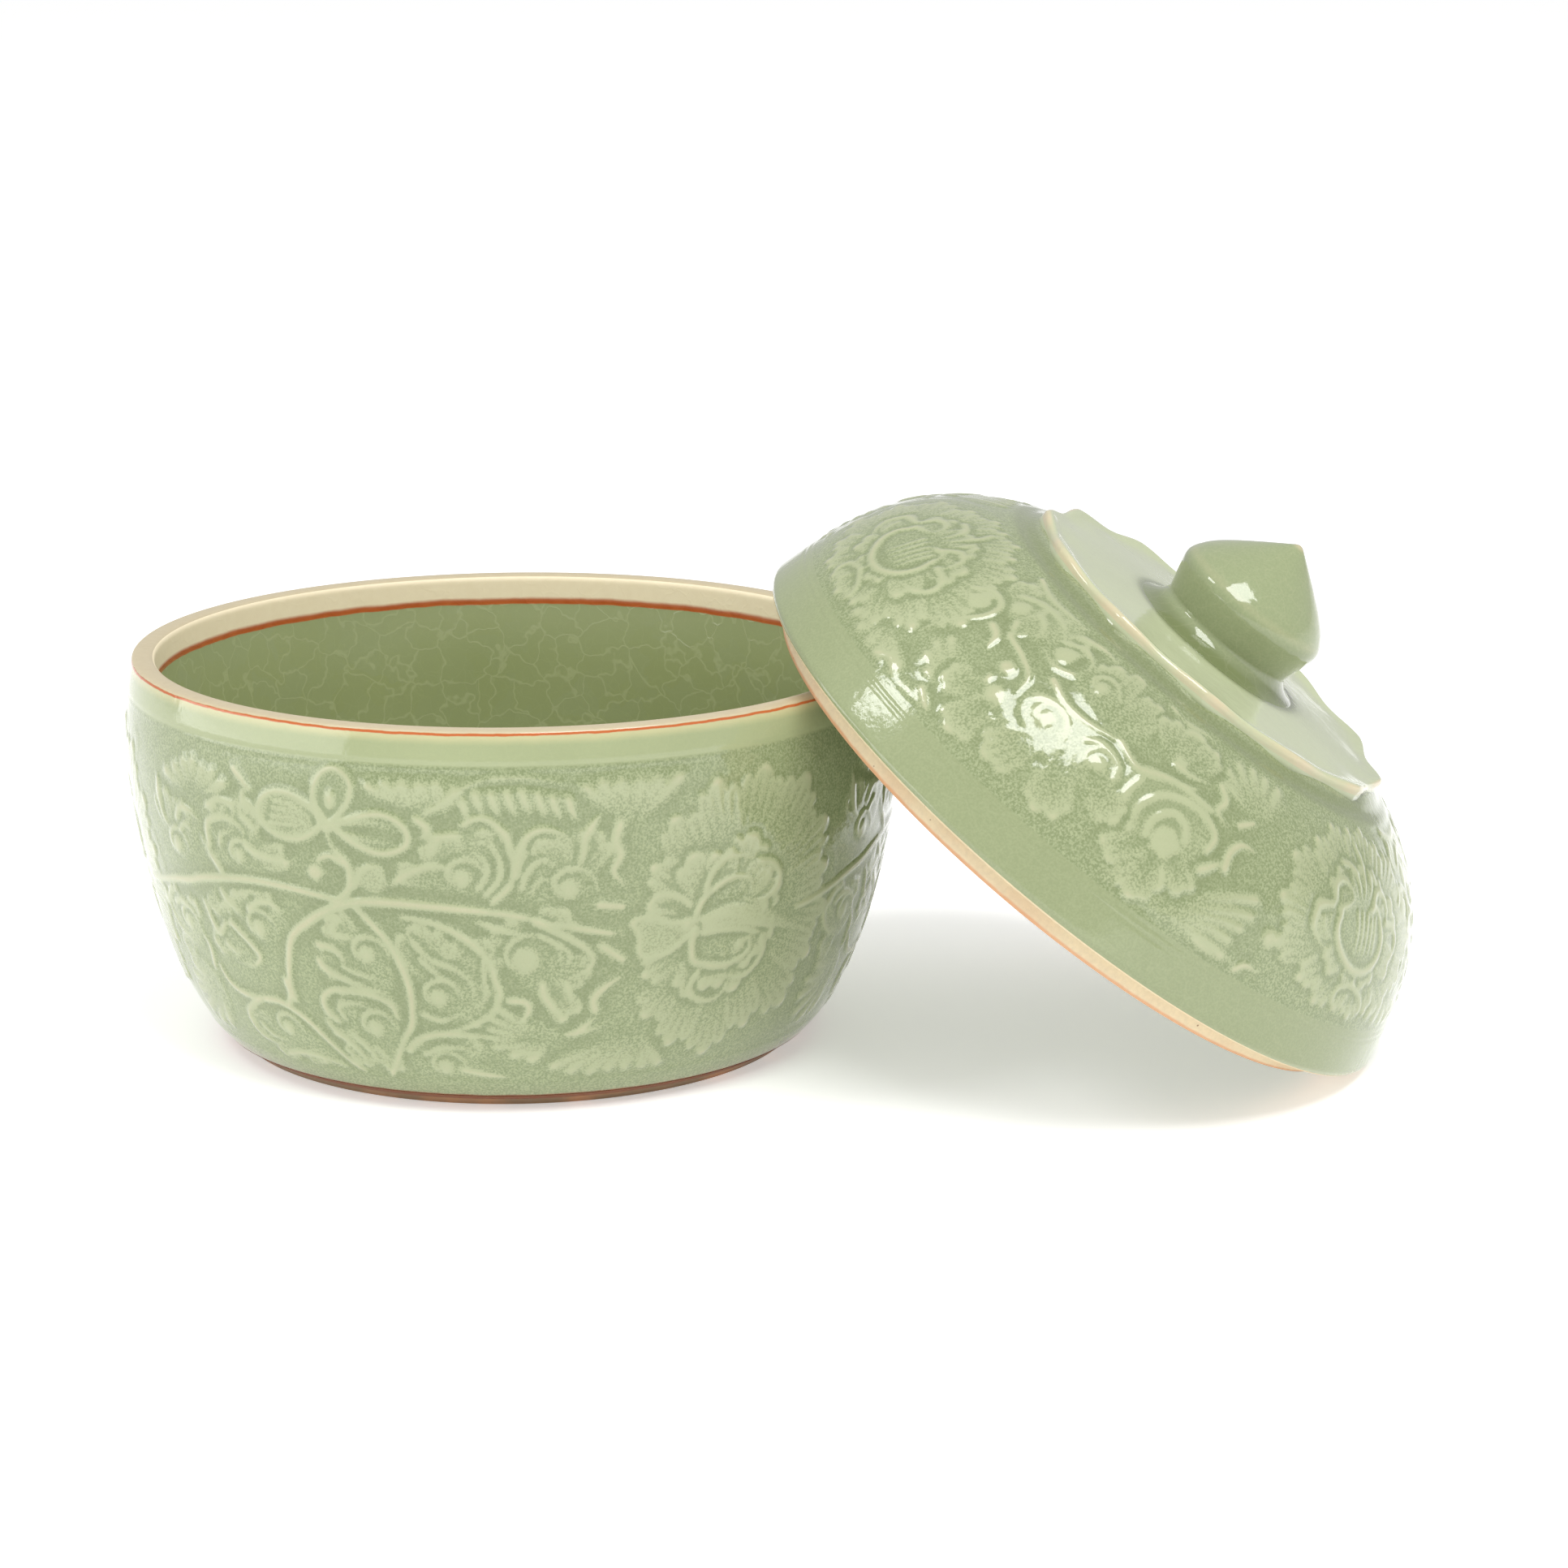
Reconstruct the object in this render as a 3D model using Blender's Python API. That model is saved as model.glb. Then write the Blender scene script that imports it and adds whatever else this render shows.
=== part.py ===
"""Lidded rice bowl in carved celadon stoneware, shown with its lid leaning on the rim.

Metres, +Z up. The table is z = 0 and the middle of the whole footprint is x = y = 0.
The bowl stands at the left, and the lid lies against its right rim with its lower edge
on the table. Every piece is turned on its own axis: the bowl's pieces about the bowl's
vertical axis, the lid's pieces about the lid's leaning axis.
"""

import math

import bmesh
import bpy
from mathutils import Matrix, Vector

MM = 0.001

# ---- driving dimensions, millimetres --------------------------------------------------
GAP = 0.3                    # between pieces that are luted together

BOWL_X, BOWL_Y = -59.03, 7.285       # bowl's axis
BELLY_R, BELLY_Z = 90.0, 74.0        # widest place of the bowl
RIM_R, RIM_Z = 88.1, 90.2            # outer corner of the rim
RIM_TOP_Z = 90.9                     # crown of the bare rim
MOUTH_R = 82.6                       # inside of the rim, which guides the lid's flange
MOUTH_DEPTH = 6.3                    # bare band inside the mouth
WALL = 6.2                           # wall lower down
FLOOR_T = 5.4                        # thickness of the bowl's bottom
FOOT_H = 3.1                         # foot ring's height
FOOT_TOP_R, FOOT_R = 69.3, 65.0      # outside of the foot ring, top and bottom
FOOT_IN_R = 56.5                     # inside of the foot ring

LID_EDGE_R = 88.3                    # widest place of the lid
SEAT_R = 87.2                        # outer corner of the lid's seat face
FLANGE_R, FLANGE_H = 81.4, 4.9       # locating flange under the seat
FLANGE_W = 4.2
CROWN_R, CROWN_H = 48.0, 49.4        # where the dome meets the petal collar
LID_WALL = 5.0
PETALS = 12
PETAL_TIP_R, PETAL_NOTCH_R = 49.4, 47.2
COLLAR_EDGE_T = 1.9
COLLAR_TOP_H = 52.3                  # top of the collar where the knob stands
KNOB_BASE_R, KNOB_NECK_R, KNOB_R = 20.2, 16.9, 18.5
KNOB_TOP_H = 81.9                    # tip of the bud above the seat face

LID_DX, LID_DY = 129.2, -16.4        # lid's seat centre from the bowl's axis
LID_TILT = 38.35                     # lean of the lid's axis, degrees
LID_TURN = -7.2                      # direction of the lean, degrees from +X
TABLE_GAP = 0.25                     # under the lid's lowest edge

SEG = 64                             # steps round a turned piece


# ---- curves ----------------------------------------------------------------------------
def bezier(p0, p1, p2, p3, n, first=True):
    """n steps of a cubic through (r, z) corners; the first point is left out if asked."""
    out = []
    for i in range(0 if first else 1, n + 1):
        t = i / n
        a, b, c, d = (1 - t) ** 3, 3 * t * (1 - t) ** 2, 3 * t * t * (1 - t), t ** 3
        out.append((a * p0[0] + b * p1[0] + c * p2[0] + d * p3[0],
                    a * p0[1] + b * p1[1] + c * p2[1] + d * p3[1]))
    return out


def inset(points, by):
    """The same curve moved `by` to the left of its direction of travel."""
    out = []
    for i, p in enumerate(points):
        a, b = points[max(i - 1, 0)], points[min(i + 1, len(points) - 1)]
        dr, dz = b[0] - a[0], b[1] - a[1]
        n = math.hypot(dr, dz)
        out.append((p[0] - by * dz / n, p[1] + by * dr / n))
    return out


# ---- materials -------------------------------------------------------------------------
def material(name, colour, roughness):
    m = bpy.data.materials.new(name)
    m.use_nodes = True
    p = m.node_tree.nodes["Principled BSDF"]
    p.inputs["Base Color"].default_value = (*colour, 1.0)
    p.inputs["Roughness"].default_value = roughness
    p.inputs["Metallic"].default_value = 0.0
    m.diffuse_color = (*colour, 1.0)
    return m


# ---- turned solids ---------------------------------------------------------------------
def turned(name, section, parent, mat, steps=SEG, outline=None):
    """Spins a closed (r, z) section, in millimetres, once round the parent's Z axis.

    outline(angle, r, z) may give another radius, for an edge that isn't round.
    """
    bm = bmesh.new()
    ring = [bm.verts.new((r * MM, 0.0, z * MM)) for r, z in section]
    edges = [bm.edges.new((ring[i], ring[(i + 1) % len(ring)])) for i in range(len(ring))]
    bmesh.ops.spin(bm, geom=ring + edges, axis=(0, 0, 1), cent=(0, 0, 0), steps=steps,
                   angle=2 * math.pi, use_merge=True, use_duplicate=False)
    bmesh.ops.remove_doubles(bm, verts=bm.verts, dist=1e-6)
    bmesh.ops.dissolve_degenerate(bm, edges=bm.edges, dist=1e-6)
    if outline:
        for v in bm.verts:
            r = math.hypot(v.co.x, v.co.y)
            if r > 1e-6:
                k = outline(math.atan2(v.co.y, v.co.x), r / MM, v.co.z / MM) * MM / r
                v.co.x *= k
                v.co.y *= k
    bmesh.ops.recalc_face_normals(bm, faces=bm.faces)
    mesh = bpy.data.meshes.new(name)
    bm.to_mesh(mesh)
    bm.free()
    mesh.shade_smooth()
    mesh.set_sharp_from_angle(angle=math.radians(38))
    mesh.materials.append(mat)
    obj = bpy.data.objects.new(name, mesh)
    bpy.context.scene.collection.objects.link(obj)
    obj.parent = parent
    return obj


def axis_empty(name, place, turn):
    e = bpy.data.objects.new(name, None)
    e.empty_display_size = 0.03
    e.matrix_world = Matrix.Translation(place) @ turn
    bpy.context.scene.collection.objects.link(e)
    return e


# ---- bowl ------------------------------------------------------------------------------
def bowl_sections():
    under_z = FOOT_H + GAP
    lower = bezier((FOOT_TOP_R + 0.5, under_z), (81.6, 14.1), (BELLY_R, 52.0),
                   (BELLY_R, BELLY_Z), 11)
    shoulder = bezier((BELLY_R, BELLY_Z), (BELLY_R, 78.8), (89.2, 85.4),
                      (RIM_R, RIM_Z), 4, first=False)
    rim = [(RIM_R - 0.9, RIM_TOP_Z - 0.15), (RIM_R - 2.2, RIM_TOP_Z),
           (MOUTH_R + 1.3, RIM_TOP_Z - 0.1), (MOUTH_R + 0.2, RIM_TOP_Z - 1.1),
           (MOUTH_R, RIM_Z - MOUTH_DEPTH)]
    # the inside follows the outside at the wall's thickness, and rounds into a flat floor
    floor_z = under_z + FLOOR_T
    inner = [(MOUTH_R - 0.3, 79.0)]
    inner += bezier((BELLY_R - WALL - 1.6, 73.0), (BELLY_R - WALL - 1.4, 52.0),
                    (76.5, 17.0), (62.0, floor_z + 2.6), 9)
    inner += [(54.0, floor_z + 0.8), (44.0, floor_z), (0.0, floor_z)]
    body = [(0.0, under_z)] + lower + shoulder + rim + inner
    foot = [(FOOT_TOP_R, FOOT_H), (FOOT_R + 0.9, 0.8), (FOOT_R, 0.0),
            (FOOT_IN_R + 0.8, 0.0), (FOOT_IN_R, 0.8), (FOOT_IN_R - 1.0, FOOT_H)]
    return body, foot


# ---- lid -------------------------------------------------------------------------------
def lid_sections():
    edge = [(SEAT_R, 0.0), (LID_EDGE_R - 0.2, 0.9), (LID_EDGE_R, 1.8)]
    dome = bezier((LID_EDGE_R - 0.1, 2.6), (82.8, 22.9), (76.8, 39.1),
                  (CROWN_R, CROWN_H), 14)
    top = [(0.0, CROWN_H)]
    ceiling = CROWN_H - LID_WALL
    inside = [(0.0, ceiling), (40.0, ceiling)]
    inside += bezier((46.5, ceiling - 0.9), (68.0, 38.5), (77.0, 22.0),
                     (FLANGE_R - FLANGE_W - 0.2, 4.0), 10)
    inside += [(FLANGE_R - FLANGE_W, 0.0)]
    shell = edge + dome + top + inside
    flange = [(FLANGE_R + 0.15, -GAP), (FLANGE_R - FLANGE_W, -GAP),
              (FLANGE_R - FLANGE_W + 0.2, -FLANGE_H + 0.9),
              (FLANGE_R - FLANGE_W + 1.1, -FLANGE_H),
              (FLANGE_R - 0.9, -FLANGE_H), (FLANGE_R, -FLANGE_H + 0.9)]
    return shell, flange


def collar_section():
    low = CROWN_H + GAP
    return [(0.0, low), (PETAL_TIP_R - 0.6, low), (PETAL_TIP_R, low + 0.7),
            (PETAL_TIP_R - 0.7, low + COLLAR_EDGE_T),
            (PETAL_TIP_R - 5.0, low + COLLAR_EDGE_T - 0.2), (34.0, COLLAR_TOP_H - 0.55),
            (24.0, COLLAR_TOP_H), (0.0, COLLAR_TOP_H)]


def petal_outline(angle, r, z):
    """Twelve pointed lobes: the outer edge swings in between the tips."""
    lobe = abs(math.sin(angle * PETALS / 2))
    cut = (PETAL_TIP_R - PETAL_NOTCH_R) * (lobe ** 0.8)
    reach = max(0.0, min(1.0, (r - 36.0) / (PETAL_TIP_R - 36.0)))
    return r - cut * reach


def knob_section():
    low = COLLAR_TOP_H + GAP
    side = [(KNOB_BASE_R, low), (KNOB_NECK_R + 0.9, low + 1.7), (KNOB_NECK_R, low + 3.6)]
    side += bezier((KNOB_NECK_R + 0.5, low + 5.6), (KNOB_R - 0.3, low + 8.0),
                   (KNOB_R + 0.7, low + 11.5), (17.0, low + 15.0), 4)
    side += bezier((17.0, low + 15.0), (15.6, low + 19.0), (6.5, low + 25.0),
                   (1.2, KNOB_TOP_H - 0.5), 6, first=False)
    return [(0.0, low)] + side + [(0.0, KNOB_TOP_H)]


def main():
    for o in list(bpy.data.objects):
        bpy.data.objects.remove(o, do_unlink=True)

    glaze = material("celadon_glaze", (0.36, 0.44, 0.27), 0.18)
    glaze_lid = material("celadon_glaze_lid", (0.37, 0.45, 0.28), 0.18)
    bare = material("bare_stoneware_foot", (0.52, 0.42, 0.29), 0.7)
    bare_flange = material("bare_stoneware_flange", (0.62, 0.52, 0.36), 0.7)
    petal = material("celadon_glaze_collar", (0.40, 0.47, 0.30), 0.16)
    bud = material("celadon_glaze_knob", (0.34, 0.42, 0.25), 0.15)

    bowl = axis_empty("bowl_axis", Vector((BOWL_X, BOWL_Y, 0)) * MM, Matrix.Identity(4))
    body, foot = bowl_sections()
    turned("bowl_body", body, bowl, glaze)
    turned("bowl_foot_ring", foot, bowl, bare)

    shell, flange = lid_sections()
    tilt, turn = math.radians(LID_TILT), math.radians(LID_TURN)
    # the lean puts the lowest point of the lid's edge just above the table
    reach = max(r * math.sin(tilt) - z * math.cos(tilt) for r, z in shell + flange)
    place = Vector((BOWL_X + LID_DX, BOWL_Y + LID_DY, reach + TABLE_GAP)) * MM
    lean = Matrix.Rotation(turn, 4, "Z") @ Matrix.Rotation(tilt, 4, "Y")
    lid = axis_empty("lid_axis", place, lean)
    turned("lid_dome", shell, lid, glaze_lid)
    turned("lid_seat_flange", flange, lid, bare_flange)
    turned("lid_petal_collar", collar_section(), lid, petal, steps=96,
           outline=petal_outline)
    turned("lid_knob", knob_section(), lid, bud, steps=40)


main()
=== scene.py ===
import bpy, math
import numpy as np
from mathutils import Matrix, Vector


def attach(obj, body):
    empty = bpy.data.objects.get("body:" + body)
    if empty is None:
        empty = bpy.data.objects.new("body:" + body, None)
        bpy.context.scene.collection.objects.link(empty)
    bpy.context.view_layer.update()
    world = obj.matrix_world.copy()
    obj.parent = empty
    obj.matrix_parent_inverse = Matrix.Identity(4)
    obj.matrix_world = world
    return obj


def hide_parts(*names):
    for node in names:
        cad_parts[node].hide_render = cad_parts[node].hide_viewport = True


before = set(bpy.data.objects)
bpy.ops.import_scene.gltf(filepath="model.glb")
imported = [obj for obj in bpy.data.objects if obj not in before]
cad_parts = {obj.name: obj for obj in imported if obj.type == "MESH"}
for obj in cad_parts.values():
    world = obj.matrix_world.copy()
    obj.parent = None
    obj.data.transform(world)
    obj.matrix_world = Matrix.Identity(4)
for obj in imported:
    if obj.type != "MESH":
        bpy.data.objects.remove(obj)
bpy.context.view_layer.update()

MM = 0.001

# ------------------------------------------------------------------ frames
BOWL = Matrix.Translation((-59.03, 7.285, 0.0))
TILT, TURN = math.radians(38.35), math.radians(-7.2)
LID = (Matrix.Translation((70.17, -9.115, 54.354))
       @ Matrix.Rotation(TURN, 4, "Z") @ Matrix.Rotation(TILT, 4, "Y"))

# ------------------------------------------------------------------ curves
def bez(p0, p1, p2, p3, n):
    t = np.linspace(0, 1, n + 1)[:, None]
    p0, p1, p2, p3 = map(np.array, (p0, p1, p2, p3))
    return ((1-t)**3*p0 + 3*(1-t)**2*t*p1 + 3*(1-t)*t*t*p2 + t**3*p3)

def chain(*parts):
    out = []
    for part in parts:
        for p in np.atleast_2d(np.array(part, float)):
            if not out or np.hypot(*(p - out[-1])) > 1e-4:
                out.append(p)
    return np.array(out)

def arc(pts):
    return np.concatenate([[0], np.cumsum(np.hypot(*np.diff(pts, axis=0).T))])

def resample(pts, step):
    """Even steps of about `step` mm along a smooth run of points."""
    s = arc(pts)
    n = max(1, int(round(s[-1] / step)))
    t = np.linspace(0, s[-1], n + 1)
    return np.stack([np.interp(t, s, pts[:, 0]), np.interp(t, s, pts[:, 1])], 1)

def catmull(pts, closed=False, n=8):
    p = np.array(pts, float)
    if len(p) < 3 and not closed:
        return p
    if closed:
        p = np.vstack([p[-1], p, p[0], p[1]])
    else:
        p = np.vstack([2*p[0]-p[1], p, 2*p[-1]-p[-2]])
    t = np.linspace(0, 1, n, endpoint=False)[:, None]
    out = []
    for i in range(1, len(p) - 2):
        a, b, c, d = p[i-1], p[i], p[i+1], p[i+2]
        out.append(0.5*((2*b) + (c-a)*t + (2*a-5*b+4*c-d)*t*t + (-a+3*b-3*c+d)*t**3))
    out.append(p[-2][None, :])
    return np.vstack(out)

def blur(a, sx, sy, wrap=True):
    """Separable gaussian; wraps round in x, holds the edge value in y."""
    def ker(s):
        r = max(1, int(math.ceil(3*s))); x = np.arange(-r, r+1)
        k = np.exp(-x*x/(2*s*s)); return k/k.sum(), r
    k, r = ker(sy)
    b = np.pad(a, ((r, r), (0, 0)), mode="edge")
    a = sum(k[i]*b[i:i+a.shape[0]] for i in range(2*r+1))
    k, r = ker(sx)
    b = np.pad(a, ((0, 0), (r, r)), mode="wrap" if wrap else "edge")
    return sum(k[i]*b[:, i:i+a.shape[1]] for i in range(2*r+1))


class Carving:
    """A height field over angle (degrees) and distance up the wall (mm)."""
    def __init__(self, t0, t1, s1, k, ds=0.4, dt=1/3.0):
        self.k = k
        self.t0, self.cell = t0, t1 - t0
        self.pad = 36.0
        self.nt = int(round((self.cell + 2*self.pad) / dt))
        self.th = t0 - self.pad + np.arange(self.nt) * dt
        self.s = np.arange(0, s1 + ds, ds)
        self.dt, self.ds = dt, ds
        self.U, self.S = np.meshgrid(self.th * k, self.s)
        self.H = np.zeros_like(self.U)
        self.plate = np.zeros_like(self.U)

    def win(self, p, m):
        u0, u1 = p[:, 0].min() - m, p[:, 0].max() + m
        v0, v1 = p[:, 1].min() - m, p[:, 1].max() + m
        i0 = np.searchsorted(self.th * self.k, u0); i1 = np.searchsorted(self.th * self.k, u1)
        j0 = np.searchsorted(self.s, v0); j1 = np.searchsorted(self.s, v1)
        return slice(max(j0, 0), max(j1, 0)), slice(max(i0, 0), max(i1, 0))

    def mm(self, pts):
        p = np.array(pts, float).copy(); p[:, 0] *= self.k
        return p

    def line(self, pts, w=1.15, h=1.0, t0=1.0, t1=0.25, cut=0.0, k=1.18, fall=0.0):
        """A rounded ridge, w = half width; t0/t1 = taper at its two ends.
        `cut` presses the ground down beside it, as the knife leaves it."""
        w = w * k
        p = catmull(self.mm(pts))
        sl = self.win(p, w * 2.3)
        U, S = self.U[sl], self.S[sl]
        if U.size == 0:
            return
        L = arc(p); tot = max(L[-1], 1e-6)
        best = np.full(U.shape, 9.0); along = np.zeros(U.shape)
        for i in range(len(p) - 1):
            a, b = p[i], p[i+1]; d = b - a; q = d @ d
            if q < 1e-9:
                continue
            t = np.clip(((U-a[0])*d[0] + (S-a[1])*d[1]) / q, 0, 1)
            dist = np.hypot(U-a[0]-t*d[0], S-a[1]-t*d[1])
            f = (L[i] + t*math.sqrt(q)) / tot
            ww = w * (t0 + (1-t0)*np.clip(f/0.25, 0, 1)) * (t1 + (1-t1)*np.clip((1-f)/0.55, 0, 1))
            q2 = dist / np.maximum(ww, 0.28)
            along = np.where(q2 < best, f, along); best = np.minimum(best, q2)
        prof = np.where(best < 1, np.sqrt(np.clip(1 - best**2, 0, 1))*0.3 + 0.7*(0.5+0.5*np.cos(np.pi*np.clip(best, 0, 1))), 0)
        if fall:
            prof = prof * (1 - fall*along)
        if cut:
            halo = np.exp(-((best - 1.32) / 0.34) ** 2) * cut * 1.15
            self.H[sl] -= halo * (self.H[sl] > 0.15)
        self.H[sl] = np.maximum(self.H[sl], h * prof)

    def fill(self, pts, h=0.55, soft=0.9, closed=True, dome=0.0):
        """A raised leaf body with rounded edges."""
        p = catmull(self.mm(pts), closed=True)
        sl = self.win(p, 3.0)
        U, S = self.U[sl], self.S[sl]
        if U.size == 0:
            return
        inside = np.zeros(U.shape, bool)
        d = np.full(U.shape, 99.0)
        for i in range(len(p)):
            a, b = p[i], p[(i+1) % len(p)]
            if abs(b[1]-a[1]) > 1e-9:
                c = ((a[1] > S) != (b[1] > S)) & (U < (b[0]-a[0])*(S-a[1])/(b[1]-a[1]) + a[0])
                inside ^= c
            e = b - a; q = e @ e
            if q > 1e-9:
                t = np.clip(((U-a[0])*e[0] + (S-a[1])*e[1]) / q, 0, 1)
                d = np.minimum(d, np.hypot(U-a[0]-t*e[0], S-a[1]-t*e[1]))
        sd = np.where(inside, d, -d)
        f = np.clip((sd + soft*0.5) / (soft * 1.3), 0, 1); f = f*f*(3-2*f)
        if dome:
            f = f * (1 - dome + dome*np.clip(sd/3.0, 0, 1))
        self.H[sl] = np.maximum(self.H[sl], 0.74 * h * f)

    def bulb(self, c, r, h=0.95, ry=None):
        ry = ry or r
        p = np.array([[c[0]*self.k - r, c[1] - ry], [c[0]*self.k + r, c[1] + ry]])
        sl = self.win(p, 1.5)
        q = np.hypot((self.U[sl]-c[0]*self.k)/r, (self.S[sl]-c[1])/ry)
        f = np.sqrt(np.clip(1.02 - q*q, 0, 1))
        self.H[sl] = np.maximum(self.H[sl], 0.84 * h * f**0.7)

    def curl(self, c, r, flip=1, w=0.8, h=0.92):
        """A round leaf end with the ridge that winds over it."""
        self.bulb(c, r)
        a = np.radians(np.linspace(215, -5, 12)); g = np.linspace(0.85, 2.35, 12)
        self.line([(c[0] + flip*r*q*math.cos(x)/self.k, c[1] + r*q*math.sin(x)) for x, q in zip(a, g)], w=w, h=h, t0=0.6, t1=0.4, cut=0.35)

    def ring(self, c, rx, ry, w=0.8, h=0.9, a0=0, a1=360):
        a = np.radians(np.linspace(a0, a1, 22))
        self.line([(c[0] + rx*math.cos(x), c[1] + ry*math.sin(x)) for x in a], w=w, h=h, t1=1.0)

    def fan(self, origin, tips, w=0.75, h=0.9, bend=0.0, start=0.12, cut=0.25, t1=0.45):
        """Round-ended lobes side by side that run from near one point out to
        each tip, low at the inner end, with a fine rib along each."""
        o = np.array(origin, float); T = [np.array(t, float) for t in tips]
        gap = [np.hypot((T[i+1][0]-T[i][0])*self.k, T[i+1][1]-T[i][1]) for i in range(len(T)-1)] or [2.6]
        for i, t in enumerate(T):
            g = min(gap[max(0, i-1)], gap[min(i, len(gap)-1)])
            ww = min(max(0.50*g, 1.0), 2.5)
            d = t - o; n = np.array([-d[1]/self.k, d[0]*self.k]) * bend
            u = d / max(np.hypot(d[0]*self.k, d[1]), 1e-6)
            tip = t - u*ww*0.7
            p = [tuple(tip), tuple(o + d*0.66 + n*0.8), tuple(o + d*max(start, 0.2))]
            self.line(p, w=ww, h=0.86*h, t0=0.9, t1=0.35, cut=0.12, k=1.0, fall=0.5)
            if ww > 1.5:
                for q in (-0.42, 0.42):
                    m = np.array([-u[1]*q*ww, u[0]*self.k*q*ww/self.k])
                    self.line([tuple(tip + m), tuple(o + d*0.66 + n*0.8 + m*0.6), tuple(o + d*max(start, 0.3))], w=0.55, h=0.98*h, t0=0.5, t1=0.4, k=1.0, fall=0.45)

    def petal(self, c, ang, half, r0, r1, lobes=3, top=0.9, low=0.30, pitch=2.3):
        """One flower petal seen from above, laid over whatever is under it:
        a scalloped outer edge that stands proud, ribs that run in towards
        the heart `c`, and a cut all round it."""
        cx, cy = c[0]*self.k, c[1]
        box = np.array([[cx - r1 - 2, cy - r1 - 2], [cx + r1 + 2, cy + r1 + 2]])
        sl = self.win(box, 1.0)
        X, Y = self.U[sl] - cx, self.S[sl] - cy
        if X.size == 0:
            return
        R = np.hypot(X, Y)
        A = np.degrees(np.arctan2(Y, X)) - ang
        A = (A + 180) % 360 - 180
        q = A / half                                   # -1 .. 1 across
        body = r0 + (r1 - r0) * np.clip(1 - np.abs(q)**3.2, 0, 1)**0.5
        scal = np.abs(np.cos(np.pi*0.5*lobes*(q + (0 if lobes % 2 else 1.0/lobes))))
        edge = body - (1 - scal**0.7) * 0.11*r1
        d = np.minimum(edge - R, (1 - np.abs(q)) * np.radians(half) * np.maximum(R, 2.0) * 0.9)
        d = np.where(np.abs(q) < 1, d, -9.0); d = np.where(R < r0*0.5, -9.0, d)
        inside = np.clip((d + 0.15) / 0.9, 0, 1); inside = inside*inside*(3 - 2*inside)
        run = np.clip((R - r0) / max(r1 - r0, 1e-6), 0, 1)
        h = low*0.7 + (top - low*0.7)*run**1.3
        h = h + 0.16*np.exp(-((d - 1.0)/0.75)**2)*run
        rib = 0.5 + 0.5*np.cos(2*np.pi*np.radians(A)*r1*0.8/pitch)
        h = h - 0.36*(1 - rib)*(0.45 + 0.55*run)*np.clip((d - 0.6)/1.6, 0, 1)
        H = self.H[sl]
        groove = np.exp(-((d + 0.55)/0.75)**2) * (d > -2.6) * np.clip((R - 0.4*r0)/max(0.3*r1, 1e-6), 0, 1)
        H = H * (1 - 0.92*groove)
        self.H[sl] = np.where(d > -0.15, H*(1 - inside) + h*inside, H)

    def result(self, ncol, rows_s, soft=0.42):
        """Fold the margins back into the cell and repeat it round the wall."""
        H = blur(self.H, soft/(self.dt*self.k), soft/self.ds, wrap=False)
        m = int(round(self.pad/self.dt)); n = int(round(self.cell/self.dt))
        core = H[:, m:m+n].copy()
        core[:, n-m:] = np.maximum(core[:, n-m:], H[:, :m])
        core[:, :m] = np.maximum(core[:, :m], H[:, m+n:m+n+m])
        # sample at the columns of the mesh
        th = np.arange(ncol) * 360.0/ncol
        f = ((th - self.t0) % self.cell) / self.dt
        i = np.floor(f).astype(int); g = f - i
        a = core[:, i % n]*(1-g) + core[:, (i+1) % n]*g
        js = np.clip(rows_s/self.ds, 0, len(self.s)-1.001); j = np.floor(js).astype(int); g = (js-j)[:, None]
        return a[j]*(1-g) + a[np.minimum(j+1, len(self.s)-1)]*g

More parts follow.
